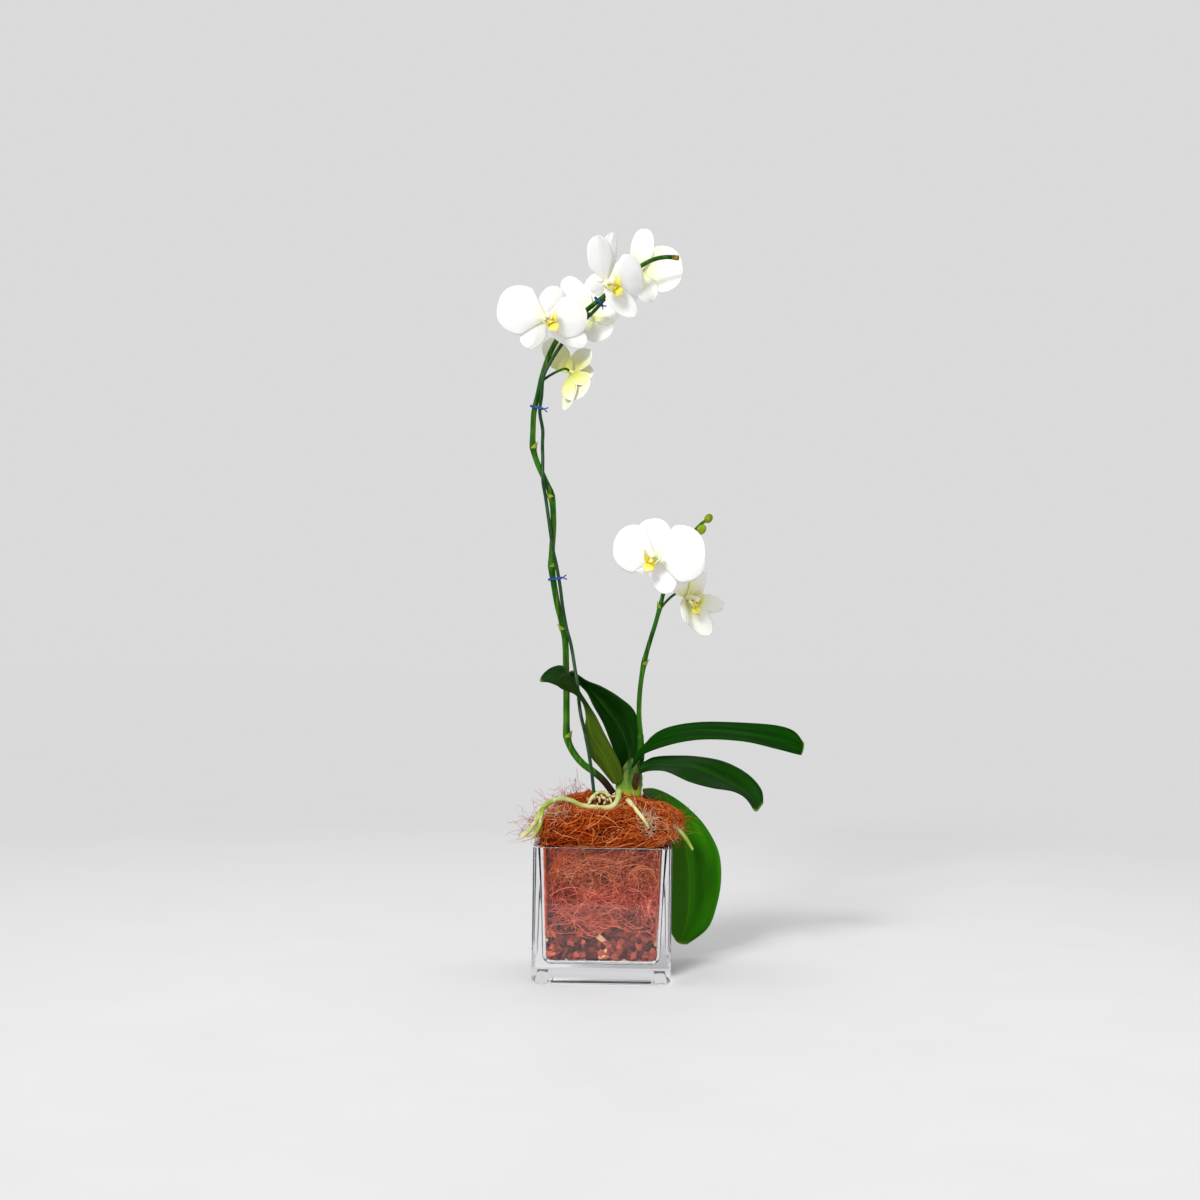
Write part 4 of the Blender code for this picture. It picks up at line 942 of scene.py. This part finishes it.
def dome_fibres(rng, count, sink_low, sink_high):
    """Matted fibres that follow the dome above the rim, crossing one another in arcs and loops."""
    fibres = []
    for _ in range(count):
        angle = rng.uniform(0, 2 * math.pi)
        level = 2.7 + 6.2 * rng.random() ** 0.75
        heading = rng.uniform(0, 2 * math.pi)
        bend = rng.gauss(0, 0.16) if rng.random() < 0.8 else rng.choice((-1, 1)) * rng.uniform(0.3, 0.6)
        sink = rng.uniform(sink_low, sink_high)
        stride = rng.uniform(1.6, 3.8)
        sway, phase = rng.uniform(0.2, 1.3), rng.uniform(0, 6)
        points = []
        for i in range(12):
            level = min(max(level, 2.55), 8.95)
            place, out = coir_surface(angle, level, sink)
            points.append(drop_in(place + out * sway * math.sin(phase + i * 0.6) * MM))
            reach = max(9.0, math.hypot(place.x, place.y) / MM)
            angle += stride * math.cos(heading) / reach
            level += stride * math.sin(heading) / arc_of_level(level)
            heading += bend
            bend += rng.gauss(0, 0.05)
        # fibres sunk deeper are painted darker: painted shade in the dome's hollows
        tone = min(1.0, max(0.12, rng.gauss(0.62, 0.19) - sink * 0.05))
        fibres.append((points, rng.uniform(0.13, 0.30) * MM, tone))
    return fibres


def stray_fibres(rng, count):
    """Loose curling ends that stand out of the dome, most of them at the left."""
    fibres = []
    for _ in range(count):
        pick = rng.random()
        if pick < 0.5:
            angle = math.pi + rng.gauss(0, 0.6)
        elif pick < 0.75:
            angle = rng.gauss(0, 0.6)
        else:
            angle = rng.uniform(0, 2 * math.pi)
        level = rng.uniform(3.2, 8.4)
        place, out = coir_surface(angle % (2 * math.pi), level, 1.5)
        heading = (out + Vector((rng.gauss(0, 0.9), rng.gauss(0, 0.9), rng.gauss(0.1, 0.6)))).normalized()
        axis = Vector((rng.gauss(0, 1), rng.gauss(0, 1), rng.gauss(0, 1))).normalized()
        stride = (rng.uniform(12, 40) if math.cos(angle) < 0 else rng.uniform(7, 24)) / 15
        bend = rng.uniform(0.08, 0.42)
        points = []
        for i in range(16):
            points.append(drop_in(place))
            place = place + heading * stride * MM
            heading = Matrix.Rotation(bend, 3, axis) @ heading + Vector((0, 0, -0.03))
            heading.normalize()
            if i % 5 == 4:
                axis = (axis + 0.8 * Vector((rng.gauss(0, 1), rng.gauss(0, 1), rng.gauss(0, 1)))).normalized()
        fibres.append((points, rng.uniform(0.08, 0.17) * MM, min(1.0, max(0.2, rng.gauss(0.48, 0.2)))))
    return fibres


def pale_fibres(rng):
    """Tangles of pale fine fibres beside the roots."""
    fibres = []
    for x, y, wide, high, count in ((556, 812, 15, 8, 110), (648, 822, 11, 15, 130), (602, 798, 18, 5, 60),
                                (676, 832, 9, 8, 50)):
        for _ in range(count):
            place = on_dome(rng.gauss(x, wide * 0.5), rng.gauss(y, high * 0.5), rng.uniform(-0.5, 3.0))
            heading = Vector((rng.gauss(0, 1), rng.gauss(0, 0.5), rng.gauss(0, 0.8))).normalized()
            curl = Vector((rng.gauss(0, 1), rng.gauss(0, 1), rng.gauss(0, 1))).normalized()
            bend = rng.uniform(0.1, 0.5)
            points = []
            for _ in range(10):
                points.append(drop_in(place))
                place = place + heading * rng.uniform(0.8, 1.9) * MM
                heading = (heading + curl * bend).normalized()
            fibres.append((points, rng.uniform(0.08, 0.16) * MM, rng.uniform(0.0, 1.0)))
    return fibres


def drop_in(place):
    """Keep a fibre off the glass and under the roots: below the rim it stays inside the walls."""
    out = place.copy()
    rim = VASE_HEIGHT + 0.8 * MM
    if out.z < rim:
        half = cavity_half(min(out.z, VASE_HEIGHT), COIR_GAP) - 0.3 * MM
        if max(abs(out.x), abs(out.y)) > half + 3 * MM:
            out.z = rim
        else:
            out.x = min(max(out.x, -half), half)
            out.y = min(max(out.y, -half), half)
    for root in ROOTS_OVER_COIR:
        beside = out.y - root.y
        if abs(out.x - root.x) < 3.2 * MM and -13 * MM < beside < 5 * MM:
            out.z = min(out.z, root.z - 1.8 * MM - 0.25 * max(0.0, -beside))
    out.y = max(out.y, -FRONT_LIMIT)
    return out


def make_coir():
    """Coir from the bark to a dome over the rim: core, fibres pressed on the glass and loose ones."""
    stops = [(0.0, srgb(44, 6, 0)), (0.24, srgb(112, 26, 2)), (0.5, srgb(178, 64, 8)),
             (0.74, srgb(222, 104, 32)), (1.0, srgb(240, 172, 112))]
    behind = [(0.0, srgb(56, 14, 4)), (0.3, srgb(124, 40, 14)), (0.6, srgb(184, 78, 34)),
              (1.0, srgb(236, 150, 100))]
    pale = [(0.0, srgb(190, 124, 84)), (0.5, srgb(226, 186, 150)), (1.0, srgb(246, 232, 206))]
    finish = fibre_finish("coir_strand", stops)
    settle(coir_core(), "coir_fibre", [finish])
    rng = random.Random(4)
    # the pink tint below 85 mm is a painted reflection of the floor in the glass
    pressed = fibre_finish("coir_strand_pressed", behind, low=(85 * MM, srgb(272, 248, 300)))
    settle(bundle("coir_pressed_strands", wall_fibres(rng, 700, 0.0, 0.9)), "coir_fibre", [pressed])
    settle(bundle("coir_inner_strands", wall_fibres(rng, 600, 0.9, 2.8)), "coir_fibre", [pressed])
    settle(bundle("coir_deep_strands", dome_fibres(rng, 1900, 1.0, 4.0)), "coir_fibre", [finish])
    loose = dome_fibres(rng, 1500, -1.6, 1.2) + stray_fibres(rng, 440)
    settle(bundle("coir_loose_strands", loose), "coir_fibre", [finish])
    settle(bundle("coir_pale_strands", pale_fibres(rng)), "coir_fibre",
           [fibre_finish("coir_strand_pale", pale)])


def spike_profile(points, base, tip, nodes, steps):
    """A spike's fine path with its radii, a little swollen at its nodes."""
    path = smooth(points, steps)
    radii = []
    for k in range(len(path)):
        at = k / steps
        swell = max((math.exp(-((at - n) * 3.2) ** 2) for n in nodes), default=0)
        radii.append((base + (tip - base) * at / (len(points) - 1)) * (1 + 0.26 * swell))
    return path, radii


def bract(path, radii, index, steps, length, turn, skin):
    """A pointed scale that wraps half the stem above a node and stands off at its tip."""
    at = index * steps
    base = path[at]
    along = (path[at + steps] - base).normalized()
    side = along.cross(Vector((0, 1, 0))).normalized() * turn
    other = along.cross(side)
    reach = radii[at]

    def place(u, v):
        swing = (u - 0.5) * 2 * math.radians(120) * (1 - v ** 1.6) + 0.0001 * u
        out = reach + 0.25 * MM + 0.9 * MM * v * v
        centre = base + along * (v * length - 1.5 * MM)
        return centre + (side * math.cos(swing) + other * math.sin(swing)) * out

    return sheet("bract", 8, 7, place, 0.4 * MM, skin)


def on_spike(points, level):
    """The place on a spike at a pixel height, and the spike's direction there."""
    for low, high in zip(points, points[1:]):
        if low[1] >= level >= high[1]:
            a, b = spot(low), spot(high)
            share = (low[1] - level) / (low[1] - high[1])
            return a.lerp(b, share), (b - a).normalized()
    return spot(points[-1]), Vector((0, 0, 1))


def bloom_frame(spec):
    """Matrix of a bloom: x right, y up, z facing out."""
    out = Vector(spec["face"]).normalized()
    up = (Vector((0, 0, 1)) - out * out.z).normalized()
    right = up.cross(out)
    turn = Matrix((right, up, out)).transposed().to_4x4()
    turn = turn @ Matrix.Rotation(-math.radians(spec["roll"]), 4, "Z")
    return Matrix.Translation(spot(spec["hub"])) @ turn


def pedicel(spec, points):
    """The flower's own stalk, from its joint on the spike to just behind the hub."""
    start, along = on_spike(points, spec["joint"])
    frame_of = bloom_frame(spec)
    end = frame_of @ Vector((0, 0, -HUB_BACK - PEDICEL_STRAIGHT))
    reach = (end - start).length
    first = start + along * reach * 0.1 + (end - start) * 0.2
    last = end - frame_of.to_3x3() @ Vector((0, 0, reach * 0.2))
    stalk = []
    for k in range(17):
        t = k / 16
        middle = first.lerp(last, t)
        stalk.append(start.lerp(first, t).lerp(middle, t).lerp(middle.lerp(last.lerp(end, t), t), t))
    stalk.append(frame_of @ Vector((0, 0, -HUB_BACK - CLEARANCE)))
    radii = [PEDICEL_RADIUS * (1.35 - 0.4 * min(1.0, k / 4)) for k in range(len(stalk))]
    return tube("pedicel", stalk, radii, 3)


def make_tall_spike(green, dry, scale_skin):
    steps = 4
    points = spots(TALL_SPIKE)
    path, radii = spike_profile(points, SPIKE_BASE_RADIUS, SPIKE_TIP_RADIUS, TALL_NODES, steps)
    pieces = [tube("spike", path, radii, 4)]
    for i, index in enumerate(TALL_NODES):
        pieces.append(bract(path, radii, index, steps, 6.5 * MM, 1 if i % 2 else -1, scale_skin))
    for spec in BLOOMS.values():
        if spec["spike"] == "tall":
            pieces.append(pedicel(spec, TALL_SPIKE))
    give(pieces, green)
    end = [path[-1] + (path[-1] - path[-2]).normalized() * k * MM for k in (-6.0, -4.5, -3, -1.8, -0.6, 0.2)]
    cap = tube("dry_end", end, [s * MM for s in (2.0, 2.4, 2.1, 2.5, 2.2, 0.9)], 3)
    cap.data.materials.append(dry)
    settle(join("spike_tall_stem", pieces + [cap]), "flower_spike_tall")


def make_short_spike(green, bud_green, scale_skin):
    steps = 4
    points = spots(SHORT_SPIKE)
    path, radii = spike_profile(points, SHORT_SPIKE_RADIUS, 1.4 * MM, SHORT_NODES, steps)
    pieces = [tube("spike", path, radii, 4)]
    for i, index in enumerate(SHORT_NODES):
        pieces.append(bract(path, radii, index, steps, 6 * MM, 1 if i % 2 else -1, scale_skin))
    sheath = smooth(points[:4], 4)
    sizes = [3.4 + 0.9 * math.sin(math.pi * min(1, k / 9)) - (0.13 * max(0, k - 7)) for k in range(len(sheath))]
    pieces.append(tube("sheath", sheath, [s * MM for s in sizes], 4))
    for spec in BLOOMS.values():
        if spec["spike"] == "short":
            pieces.append(pedicel(spec, SHORT_SPIKE))
    give(pieces, green)
    for place, size in BUDS:
        deselect()
        bpy.ops.mesh.primitive_uv_sphere_add(segments=20, ring_count=14, radius=size * MM, location=spot(place))
        bud = bpy.context.object
        bud.scale = (1, 1, 1.25)
        bud.rotation_euler = (0, 0.6, 0)
        bpy.ops.object.transform_apply(location=True, rotation=True, scale=True)
        bpy.ops.object.shade_smooth()
        bud.data.materials.append(bud_green)
        pieces.append(bud)
    settle(join("spike_short_stem", pieces), "flower_spike_short")


def stake_path():
    """Out of the coir, past the folded leaf, then wound round the spike to the upper tie."""
    path = spots(STAKE_FOOT)
    for level, degrees, share in STAKE_TURN:
        at, along = on_spike(TALL_SPIKE, level)
        right = Vector((0, 1, 0)).cross(along).normalized()
        back = along.cross(right).normalized()
        a = math.radians(degrees)
        path.append(at + (right * math.cos(a) + back * math.sin(a)) * STAKE_DISTANCE * share)
    return path


def make_stake():
    finish = plain_finish("stake_coating", srgb(10, 40, 16), srgb(26, 78, 30), 160.0, 0.4, 0.35)
    stake = tube("stake_rod", smooth(stake_path(), 3), STAKE_RADIUS, 3)
    settle(stake, "support_stake", [finish])


def make_ties():
    finish = plain_finish("tie_blue", srgb(16, 50, 104), srgb(40, 96, 168), 220.0, 0.5, 0.3)
    for name, level in TIE_HEIGHTS.items():
        at, along = on_spike(TALL_SPIKE, level)
        rod = stake_path()
        crossing = [a.lerp(b, k / 8) for a, b in zip(rod, rod[1:]) for k in range(8)]
        near = [p for p in crossing if (p - at).length < 3 * STAKE_DISTANCE]
        mate = min(near, key=lambda p: abs((p - at).dot(along)))
        axis = (mate - at) - along * (mate - at).dot(along)
        span = axis.length
        axis.normalize()
        across = along.cross(axis)
        pieces = []
        for turn in range(2):
            loop = []
            for centre, radius, start in ((0, SPIKE_BASE_RADIUS, 90), (span, STAKE_RADIUS, -90)):
                reach = radius + TIE_WIRE + TIE_SLACK
                for k in range(11):
                    a = math.radians(start + 18 * k)
                    lift = along * (turn - 0.5) * 1.1 * MM
                    loop.append(at + lift + axis * (centre + math.cos(a) * reach) + across * math.sin(a) * reach)
            pieces.append(tube("loop", loop, TIE_WIRE * 0.8, 2, closed=True))
        knot = at + axis * (span + STAKE_RADIUS + TIE_WIRE + TIE_SLACK)
        for lift in (-1, 1):
            end = [knot, knot + axis * 2 * MM + along * lift * 0.4 * MM, knot + axis * 5 * MM + along * lift * 2 * MM]
            pieces.append(tube("end", smooth(end, 4), TIE_WIRE * 0.85, 2))
        settle(join(name + "_wire", pieces), name, [finish])


def make_leaves():
    under = leaf_finish("leaf_underside", srgb(46, 70, 4), srgb(74, 98, 10), srgb(96, 122, 20), None,
                        srgb(14, 42, 2), 0.5)
    upper = leaf_finish("leaf_upper", srgb(4, 34, 1), srgb(16, 60, 2), srgb(36, 88, 8))
    # its left half is tinted darker as painted shade
    dark = leaf_finish("leaf_dark_green", srgb(6, 46, 1), srgb(20, 72, 2), srgb(44, 96, 8), srgb(12, 52, 1))
    lit = leaf_finish("leaf_right_green", srgb(4, 40, 0), srgb(12, 66, 0), srgb(34, 88, 4), None, None, 0.6, 0.02)
    # painted light: the hanging leaf's green is painted much brighter than the other leaves' green, and its left half
    # darker as painted shade
    hanging_painted_light = leaf_finish("leaf_hanging_painted_light_green", srgb(32, 104, 0), srgb(54, 138, 0), srgb(96, 154, 10),
                          srgb(46, 100, 0))
    sides = {"leaf_upright": (upper, upper), "leaf_folded": (under, upper), "leaf_right_upper": (lit, lit),
             "leaf_right_middle": (dark, dark), "leaf_drooping": (hanging_painted_light, hanging_painted_light)}
    for name, stations in LEAVES.items():
        lines = [spots([station[k] for station in stations]) for k in range(3)]
        last = len(stations) - 1

        def place(u, v):
            left, middle, right = (on_curve(line, v * last) for line in lines)
            t = 2 * u - 1
            sag = middle - (left + right) / 2
            edge = left if t < 0 else right
            point = middle.lerp(edge, abs(t)) + sag * (abs(t) - abs(t) ** 1.35) * 0.8
            ripple = noise.noise(Vector((u * 2.2, v * 3.5, len(name)))) * 0.8 * MM
            return point + sag.normalized() * (ripple - 0.5 * MM * math.exp(-(t * 9) ** 2))

        leaf = sheet(name + "_blade", 22, 12 * last, place, LEAF_THICKNESS, *sides[name])
        settle(leaf, name)


def make_crown():
    rings = []
    for k in range((len(CROWN_RINGS) - 1) * 4 + 1):
        low = min(k // 4, len(CROWN_RINGS) - 2)
        t = k / 4 - low
        z, wide, deep, x, y = (a + (b - a) * t for a, b in zip(CROWN_RINGS[low], CROWN_RINGS[low + 1]))
        ring = []
        for j in range(48):
            a = 2 * math.pi * j / 48
            fold = 1 - 0.07 * abs(math.sin(3 * a + z * 0.05)) - 0.03 * math.sin(z * 0.9)
            ring.append(Vector((x + wide * fold * math.cos(a), y + deep * fold * math.sin(a), z)) * MM)
        rings.append(ring)
    crown = loft("crown", rings)
    crown.data.materials.append(crown_finish())
    stub = tube("stub", smooth(spots([(634, 790, -4), (635.5, 781, -9), (637, 774, -12)]), 5),
                [s * MM for s in (3.2, 3.3, 3.4, 3.2, 3.3, 3.0, 3.1, 2.8, 2.9, 2.5, 1.8)], 3)
    stub.data.materials.append(plain_finish("dry_stub", srgb(30, 18, 12), srgb(84, 58, 34), 180.0, 0.8, 0.15))
    settle(join("crown_stem", [crown, stub]), "orchid_stem")


def tepal(frame_of, tip, width, lean, kind, across, along, front, back):
    """A petal or sepal in the bloom's frame, from the hub to a photograph point at its tip."""
    claw, height, bow = TEPAL_KINDS[kind]
    end = frame_of.inverted() @ spot(tip)
    start = Vector((end.x, end.y, 0)).normalized() * TEPAL_FOOT + Vector((0, 0, height))
    axis = end - start
    ahead = axis.normalized()
    normal = Vector((0, 0, 1)) - ahead * ahead.z
    normal = Matrix.Rotation(math.radians(lean), 3, ahead) @ normal.normalized()
    side = ahead.cross(normal)
    seed = tip[0] * 0.37

    def place(p, q):
        s = 0.05 + 0.94 * q
        u = (1 - math.cos(math.pi * s)) / 2
        half = width / 2 * math.sin(math.pi * s) ** 0.8
        half *= claw + (1 - claw) * min(1.0, u / 0.4)
        t = 2 * p - 1
        rise = bow * math.sin(math.pi * u) - 0.2 * t * t * half
        rise += 0.9 * MM * noise.noise(Vector((t * 1.6, u * 2.6, seed))) * (0.3 + 0.7 * u)
        rise -= 0.35 * MM * math.exp(-(t * 8) ** 2) * (1 - u)
        return start + axis * u + side * half * t + normal * rise

    return sheet("tepal", across, along, place, TEPAL_THICKNESS, front, back)


def make_bloom(name, spec, front, back, heart, lip_skin):
    """Three sepals behind, two wide petals before them, the column and the lip."""
    frame_of = bloom_frame(spec)
    pieces = []
    for kind, across, along in (("sepals", 16, 24), ("petals", 24, 28)):
        for tip, width, lean in spec[kind]:
            pieces.append(tepal(frame_of, tip, width * MM, lean, kind, across, along, front, back))
    hub_path = [Vector((0, 0, z)) * MM for z in (-7, -6, -4.5, -3, -1, 1.5, 3, 3.8)]
    hub = tube("hub", hub_path, [s * MM for s in (1.3, 1.5, 1.9, 2.4, 2.8, 2.9, 2.5, 1.3)], 4)
    hub.data.materials.append(back)
    column_path = smooth([Vector(p) * MM for p in ((0, 0.5, 0), (0, 1.0, 3), (0, 1.8, 6), (0, 2.6, 10), (0, 2.6, 13))], 3)
    sizes = [2.4, 2.3, 2.2, 2.1, 2.0, 2.0, 2.0, 2.1, 2.2, 2.4, 2.6, 2.5, 1.8]
    column = tube("column", column_path, [s * MM for s in sizes], 4)
    column.data.materials.append(heart)
    bloom = join(name + "_petals", pieces + [hub, column])
    bloom.data.transform(frame_of)
    settle(bloom, name + "_tepals")
    lip = make_lip(name + "_lip_lobes")
    lip.data.transform(frame_of)
    settle(lip, name + "_lip", [lip_skin])


def curve_between(table, at):
    """Values of a table of rows, smoothly between them; at runs from 0 to 1."""
    return on_curve([Vector(row) for row in table], at * (len(table) - 1))


def make_lip(name):
    """A pointed middle lobe with two tendrils, two raised side lobes and a two-toothed callus."""
    middle_rows = ((-4.6, 6.5, 1.6), (-7, 10.6, 4.4), (-10, 12.6, 5.2), (-13.5, 12, 0.9))

    def middle(p, q):
        y, z, half = curve_between(middle_rows, q)
        t = 2 * p - 1
        return Vector((max(half, 0.7) * t, y, z - 1.2 * t * t - 0.5 * math.exp(-(t * 6) ** 2))) * MM

    pieces = [sheet("lobe", 10, 16, middle, LIP_THICKNESS)]
    for side in (-1, 1):
        def lobe(p, q, side=side):
            half = curve_between(((1.6, 0, 0), (3.6, 0, 0), (4.0, 0, 0), (1.6, 0, 0)), q)[0]
            t = 2 * p - 1
            reach, rise, out = 1.2 + 7.2 * q, -5 + 9.5 * q * q, 6.5 + 4.5 * q
            curl = 0.6 * math.sin(2.4 * t) * q
            return Vector((side * (reach - 0.4 * t * t + curl), rise - half * 0.25 * t, out + half * t)) * MM

        pieces.append(sheet("side", 10, 12, lobe, LIP_THICKNESS))
        tendril = [Vector(p) * MM for p in ((side * 0.4, -12.8, 12), (side * 1.3, -14.6, 12.8), (side * 2.6, -14.4, 13.8))]
        pieces.append(tube("tendril", smooth(tendril, 3), [s * MM for s in (0.5, 0.45, 0.42, 0.4, 0.36, 0.3, 0.2)], 2))
        deselect()
        bpy.ops.mesh.primitive_uv_sphere_add(segments=14, ring_count=10, radius=1.3 * MM,
                                             location=(side * 0.9 * MM, -4.2 * MM, 9.4 * MM))
        tooth = bpy.context.object
        tooth.scale = (0.8, 0.7, 1.5)
        bpy.ops.object.transform_apply(location=True, rotation=True, scale=True)
        bpy.ops.object.shade_smooth()
        pieces.append(tooth)
    deselect()
    bpy.ops.mesh.primitive_uv_sphere_add(segments=16, ring_count=12, radius=1 * MM, location=(0, -3.4 * MM, 6.4 * MM))
    foot = bpy.context.object
    foot.scale = (2.1, 2.6, 2.7)
    bpy.ops.object.transform_apply(location=True, rotation=True, scale=True)
    bpy.ops.object.shade_smooth()
    pieces.append(foot)
    return join(name, pieces)


def root_tube(points, first, last, seed, steps=5):
    """A root with an uneven skin, tapering from the first radius to the last and to a point."""
    path = smooth(spots(points), steps)
    count = len(path) - 1
    radii = []
    for k in range(count + 1):
        radius = first + (last - first) * k / count
        radius *= 1 + 0.13 * noise.noise(Vector((k * 0.55, seed, 0)))
        ending = (count - k) / (1.2 * steps)
        radii.append(radius * min(1.0, 0.45 + 0.55 * ending ** 0.6))
    return tube("root", path, radii, 4)


def make_roots(skin, tip_green):
    left = root_tube(LEFT_ROOT, ROOT_RADIUS, 1.9 * MM, 1)
    branch = root_tube(LEFT_ROOT_BRANCH, 1.9 * MM, 1.5 * MM, 2)
    loop = root_tube(LOOP_ROOT, 1.3 * MM, 1.3 * MM, 3)
    knobs = []
    rng = random.Random(9)
    for _ in range(26):
        place = spot((rng.uniform(588, 613), rng.uniform(795, 809), rng.uniform(-21, -9)))
        heading = Vector((rng.gauss(0, 1), rng.gauss(0, 1), rng.gauss(0.2, 0.8))).normalized()
        bend = Vector((rng.gauss(0, 1), rng.gauss(0, 1), rng.gauss(0, 1))) * 0.9 * MM
        line = [place + heading * (k - 1.5) * 1.9 * MM + bend * (k - 1.5) ** 2 * 0.4 for k in range(4)]
        size = rng.uniform(0.5, 1.2)
        knobs.append(tube("knob", smooth(line, 2), [s * size * MM for s in (0.6, 1, 1.1, 1.2, 1, 0.9, 0.5)], 2))
    give([left, branch, loop], skin)
    give(knobs, plain_finish("root_knob", srgb(168, 150, 84), srgb(240, 226, 182), 200.0, 0.7, 0.08))
    settle(join("roots_left", [left, branch, loop] + knobs), "aerial_roots")
    settle(join("roots_pale", [root_tube(SILVER_ROOT, 3.3 * MM, 1.8 * MM, 4)]), "root_silver", [skin])
    outer = [on_dome(x, y, 1.2) for x, y in PALE_ROOT_PIXELS]
    settle(tube("root_pale_outer", smooth(outer, 5), [(2.4 - 0.055 * k) * MM for k in range(26)], 4),
           "root_silver", [skin])
    right = root_tube(RIGHT_ROOT, 1.0 * MM, 1.9 * MM, 5)
    settle(join("roots_right", [right]), "root_right", [tip_green])


def make_stage():
    """A pale floor painted lighter near the vase as a painted pool of light, and darker far off where it meets the
    wall's tone, on every side, and soft light.
    """
    deselect()
    bpy.ops.mesh.primitive_plane_add(size=14, location=(0, 0, -0.0004))
    floor = bpy.context.object
    floor.name = "stage_floor"
    f = Finish("floor_painted_light_pool", 0.5, 0.03)
    scuff = f.noise(f.place(), 9.0, 5.0)
    # painted light: the floor's colour is lighter near the vase and darker away from it
    away = f.node("ShaderNodeVectorMath", operation="DISTANCE")
    f.link(f.place(), away.inputs[0])
    away.inputs[1].default_value = (0, -0.35, 0)
    base = f.ramp(f.sum("MULTIPLY", away.outputs["Value"], 0.4), [(0.16, (0, 0, 0, 1)), (0.6, (1, 1, 1, 1))])
    near, far = (0.80, 0.80, 0.80, 1), (0.655, 0.655, 0.655, 1)
    tone = f.mix(base, near, far)
    f.colour(f.mix(f.ramp(scuff, [(0.4, (0, 0, 0, 1)), (0.75, (0.10, 0.10, 0.10, 1))]), tone, (0.6, 0.6, 0.6, 1)))
    floor.data.materials.append(f.mat)
    world = bpy.data.worlds.new("studio")
    bpy.context.scene.world = world
    world.use_nodes = True
    world.node_tree.nodes["Background"].inputs["Color"].default_value = (1, 1, 1.01, 1)
    world.node_tree.nodes["Background"].inputs["Strength"].default_value = 0.705
    deselect()
    bpy.ops.object.light_add(type="SUN", rotation=(math.radians(60), 0, math.radians(-24)))
    sun = bpy.context.object
    sun.data.energy = 2.35
    sun.data.angle = math.radians(14)
    dark = Finish("dark_card", 0.9, 0.0)
    dark.shader.inputs["Base Color"].default_value = (0.01, 0.01, 0.01, 1)
    for name, size, place, turn in (("card_low", (4.0, 3.0), (0, -2.2, 0.002), 0),
                                    ("card_back", (5.0, 3.4), (0, -3.6, 1.2), 90)):
        deselect()
        bpy.ops.mesh.primitive_plane_add(size=1, location=place, rotation=(math.radians(turn), 0, 0))
        card = bpy.context.object
        card.name = name
        card.scale = (*size, 1)
        card.data.materials.append(dark.mat)
        card.visible_camera = False
        card.visible_diffuse = False
        card.visible_shadow = False
        card.visible_transmission = False


def make_camera():
    camera = bpy.data.cameras.new("camera")
    camera.sensor_width = 36
    camera.lens = 36 * LENS_PIXELS / IMAGE_PIXELS
    holder = bpy.data.objects.new("camera", camera)
    bpy.context.scene.collection.objects.link(holder)
    holder.location = EYE
    holder.rotation_euler = (math.radians(90), -LEAN, 0)
    bpy.context.scene.camera = holder
    bpy.context.scene.view_settings.view_transform = "Standard"


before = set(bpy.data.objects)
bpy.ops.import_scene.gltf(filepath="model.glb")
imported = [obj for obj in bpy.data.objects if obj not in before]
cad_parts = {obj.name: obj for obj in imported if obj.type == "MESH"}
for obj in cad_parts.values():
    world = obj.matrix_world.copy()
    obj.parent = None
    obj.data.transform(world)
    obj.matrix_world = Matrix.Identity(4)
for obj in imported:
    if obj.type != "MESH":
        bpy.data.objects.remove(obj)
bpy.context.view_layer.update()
make_camera()
make_stage()
make_vase()
make_bark()
make_coir()
stem_green = stem_finish("spike_green", False)
scale_skin = plain_finish("bract_skin", srgb(84, 116, 16), srgb(160, 168, 66), 150.0, 0.6, 0.1)
make_tall_spike(stem_finish("spike_green_dry_foot", True),
                plain_finish("dry_tip", srgb(36, 22, 6), srgb(170, 140, 50), 300.0, 0.8, 0.1), scale_skin)
make_short_spike(stem_green, plain_finish("bud_green", srgb(84, 106, 8), srgb(150, 164, 30), 120.0, 0.5, 0.12),
                 scale_skin)
make_stake()
make_ties()
make_leaves()
make_crown()
petal_front = petal_finish("petal_white", srgb(242, 242, 240), srgb(239, 238, 212), srgb(222, 219, 84), 0.36,
                           srgb(234, 234, 228))
petal_front_green = petal_finish("petal_white_green", srgb(244, 244, 236), srgb(232, 231, 160),
                                 srgb(196, 194, 30), 0.6, srgb(214, 214, 130))
petal_back = petal_finish("petal_back", srgb(244, 244, 240), srgb(236, 237, 192), srgb(190, 192, 30), 0.62,
                          srgb(232, 233, 208))
petal_back_green = petal_finish("petal_back_green", srgb(234, 234, 214), srgb(222, 222, 130),
                                srgb(172, 174, 8), 0.8, srgb(206, 208, 110))
backs = {"bloom_2": petal_back_green, "bloom_7": petal_back_green}
column_white = plain_finish("column_white", srgb(250, 236, 190), srgb(254, 252, 244), 240.0, 0.4, 0.3)
lip_yellow = lip_finish()
for bloom_name, bloom_spec in BLOOMS.items():
    bloom_front = petal_front_green if bloom_name == "bloom_7" else petal_front
    make_bloom(bloom_name, bloom_spec, bloom_front, backs.get(bloom_name, petal_back), column_white, lip_yellow)
make_roots(root_finish(), plain_finish("root_tip", srgb(120, 150, 40), srgb(176, 196, 96), 90.0, 0.5))
bpy.context.view_layer.update()
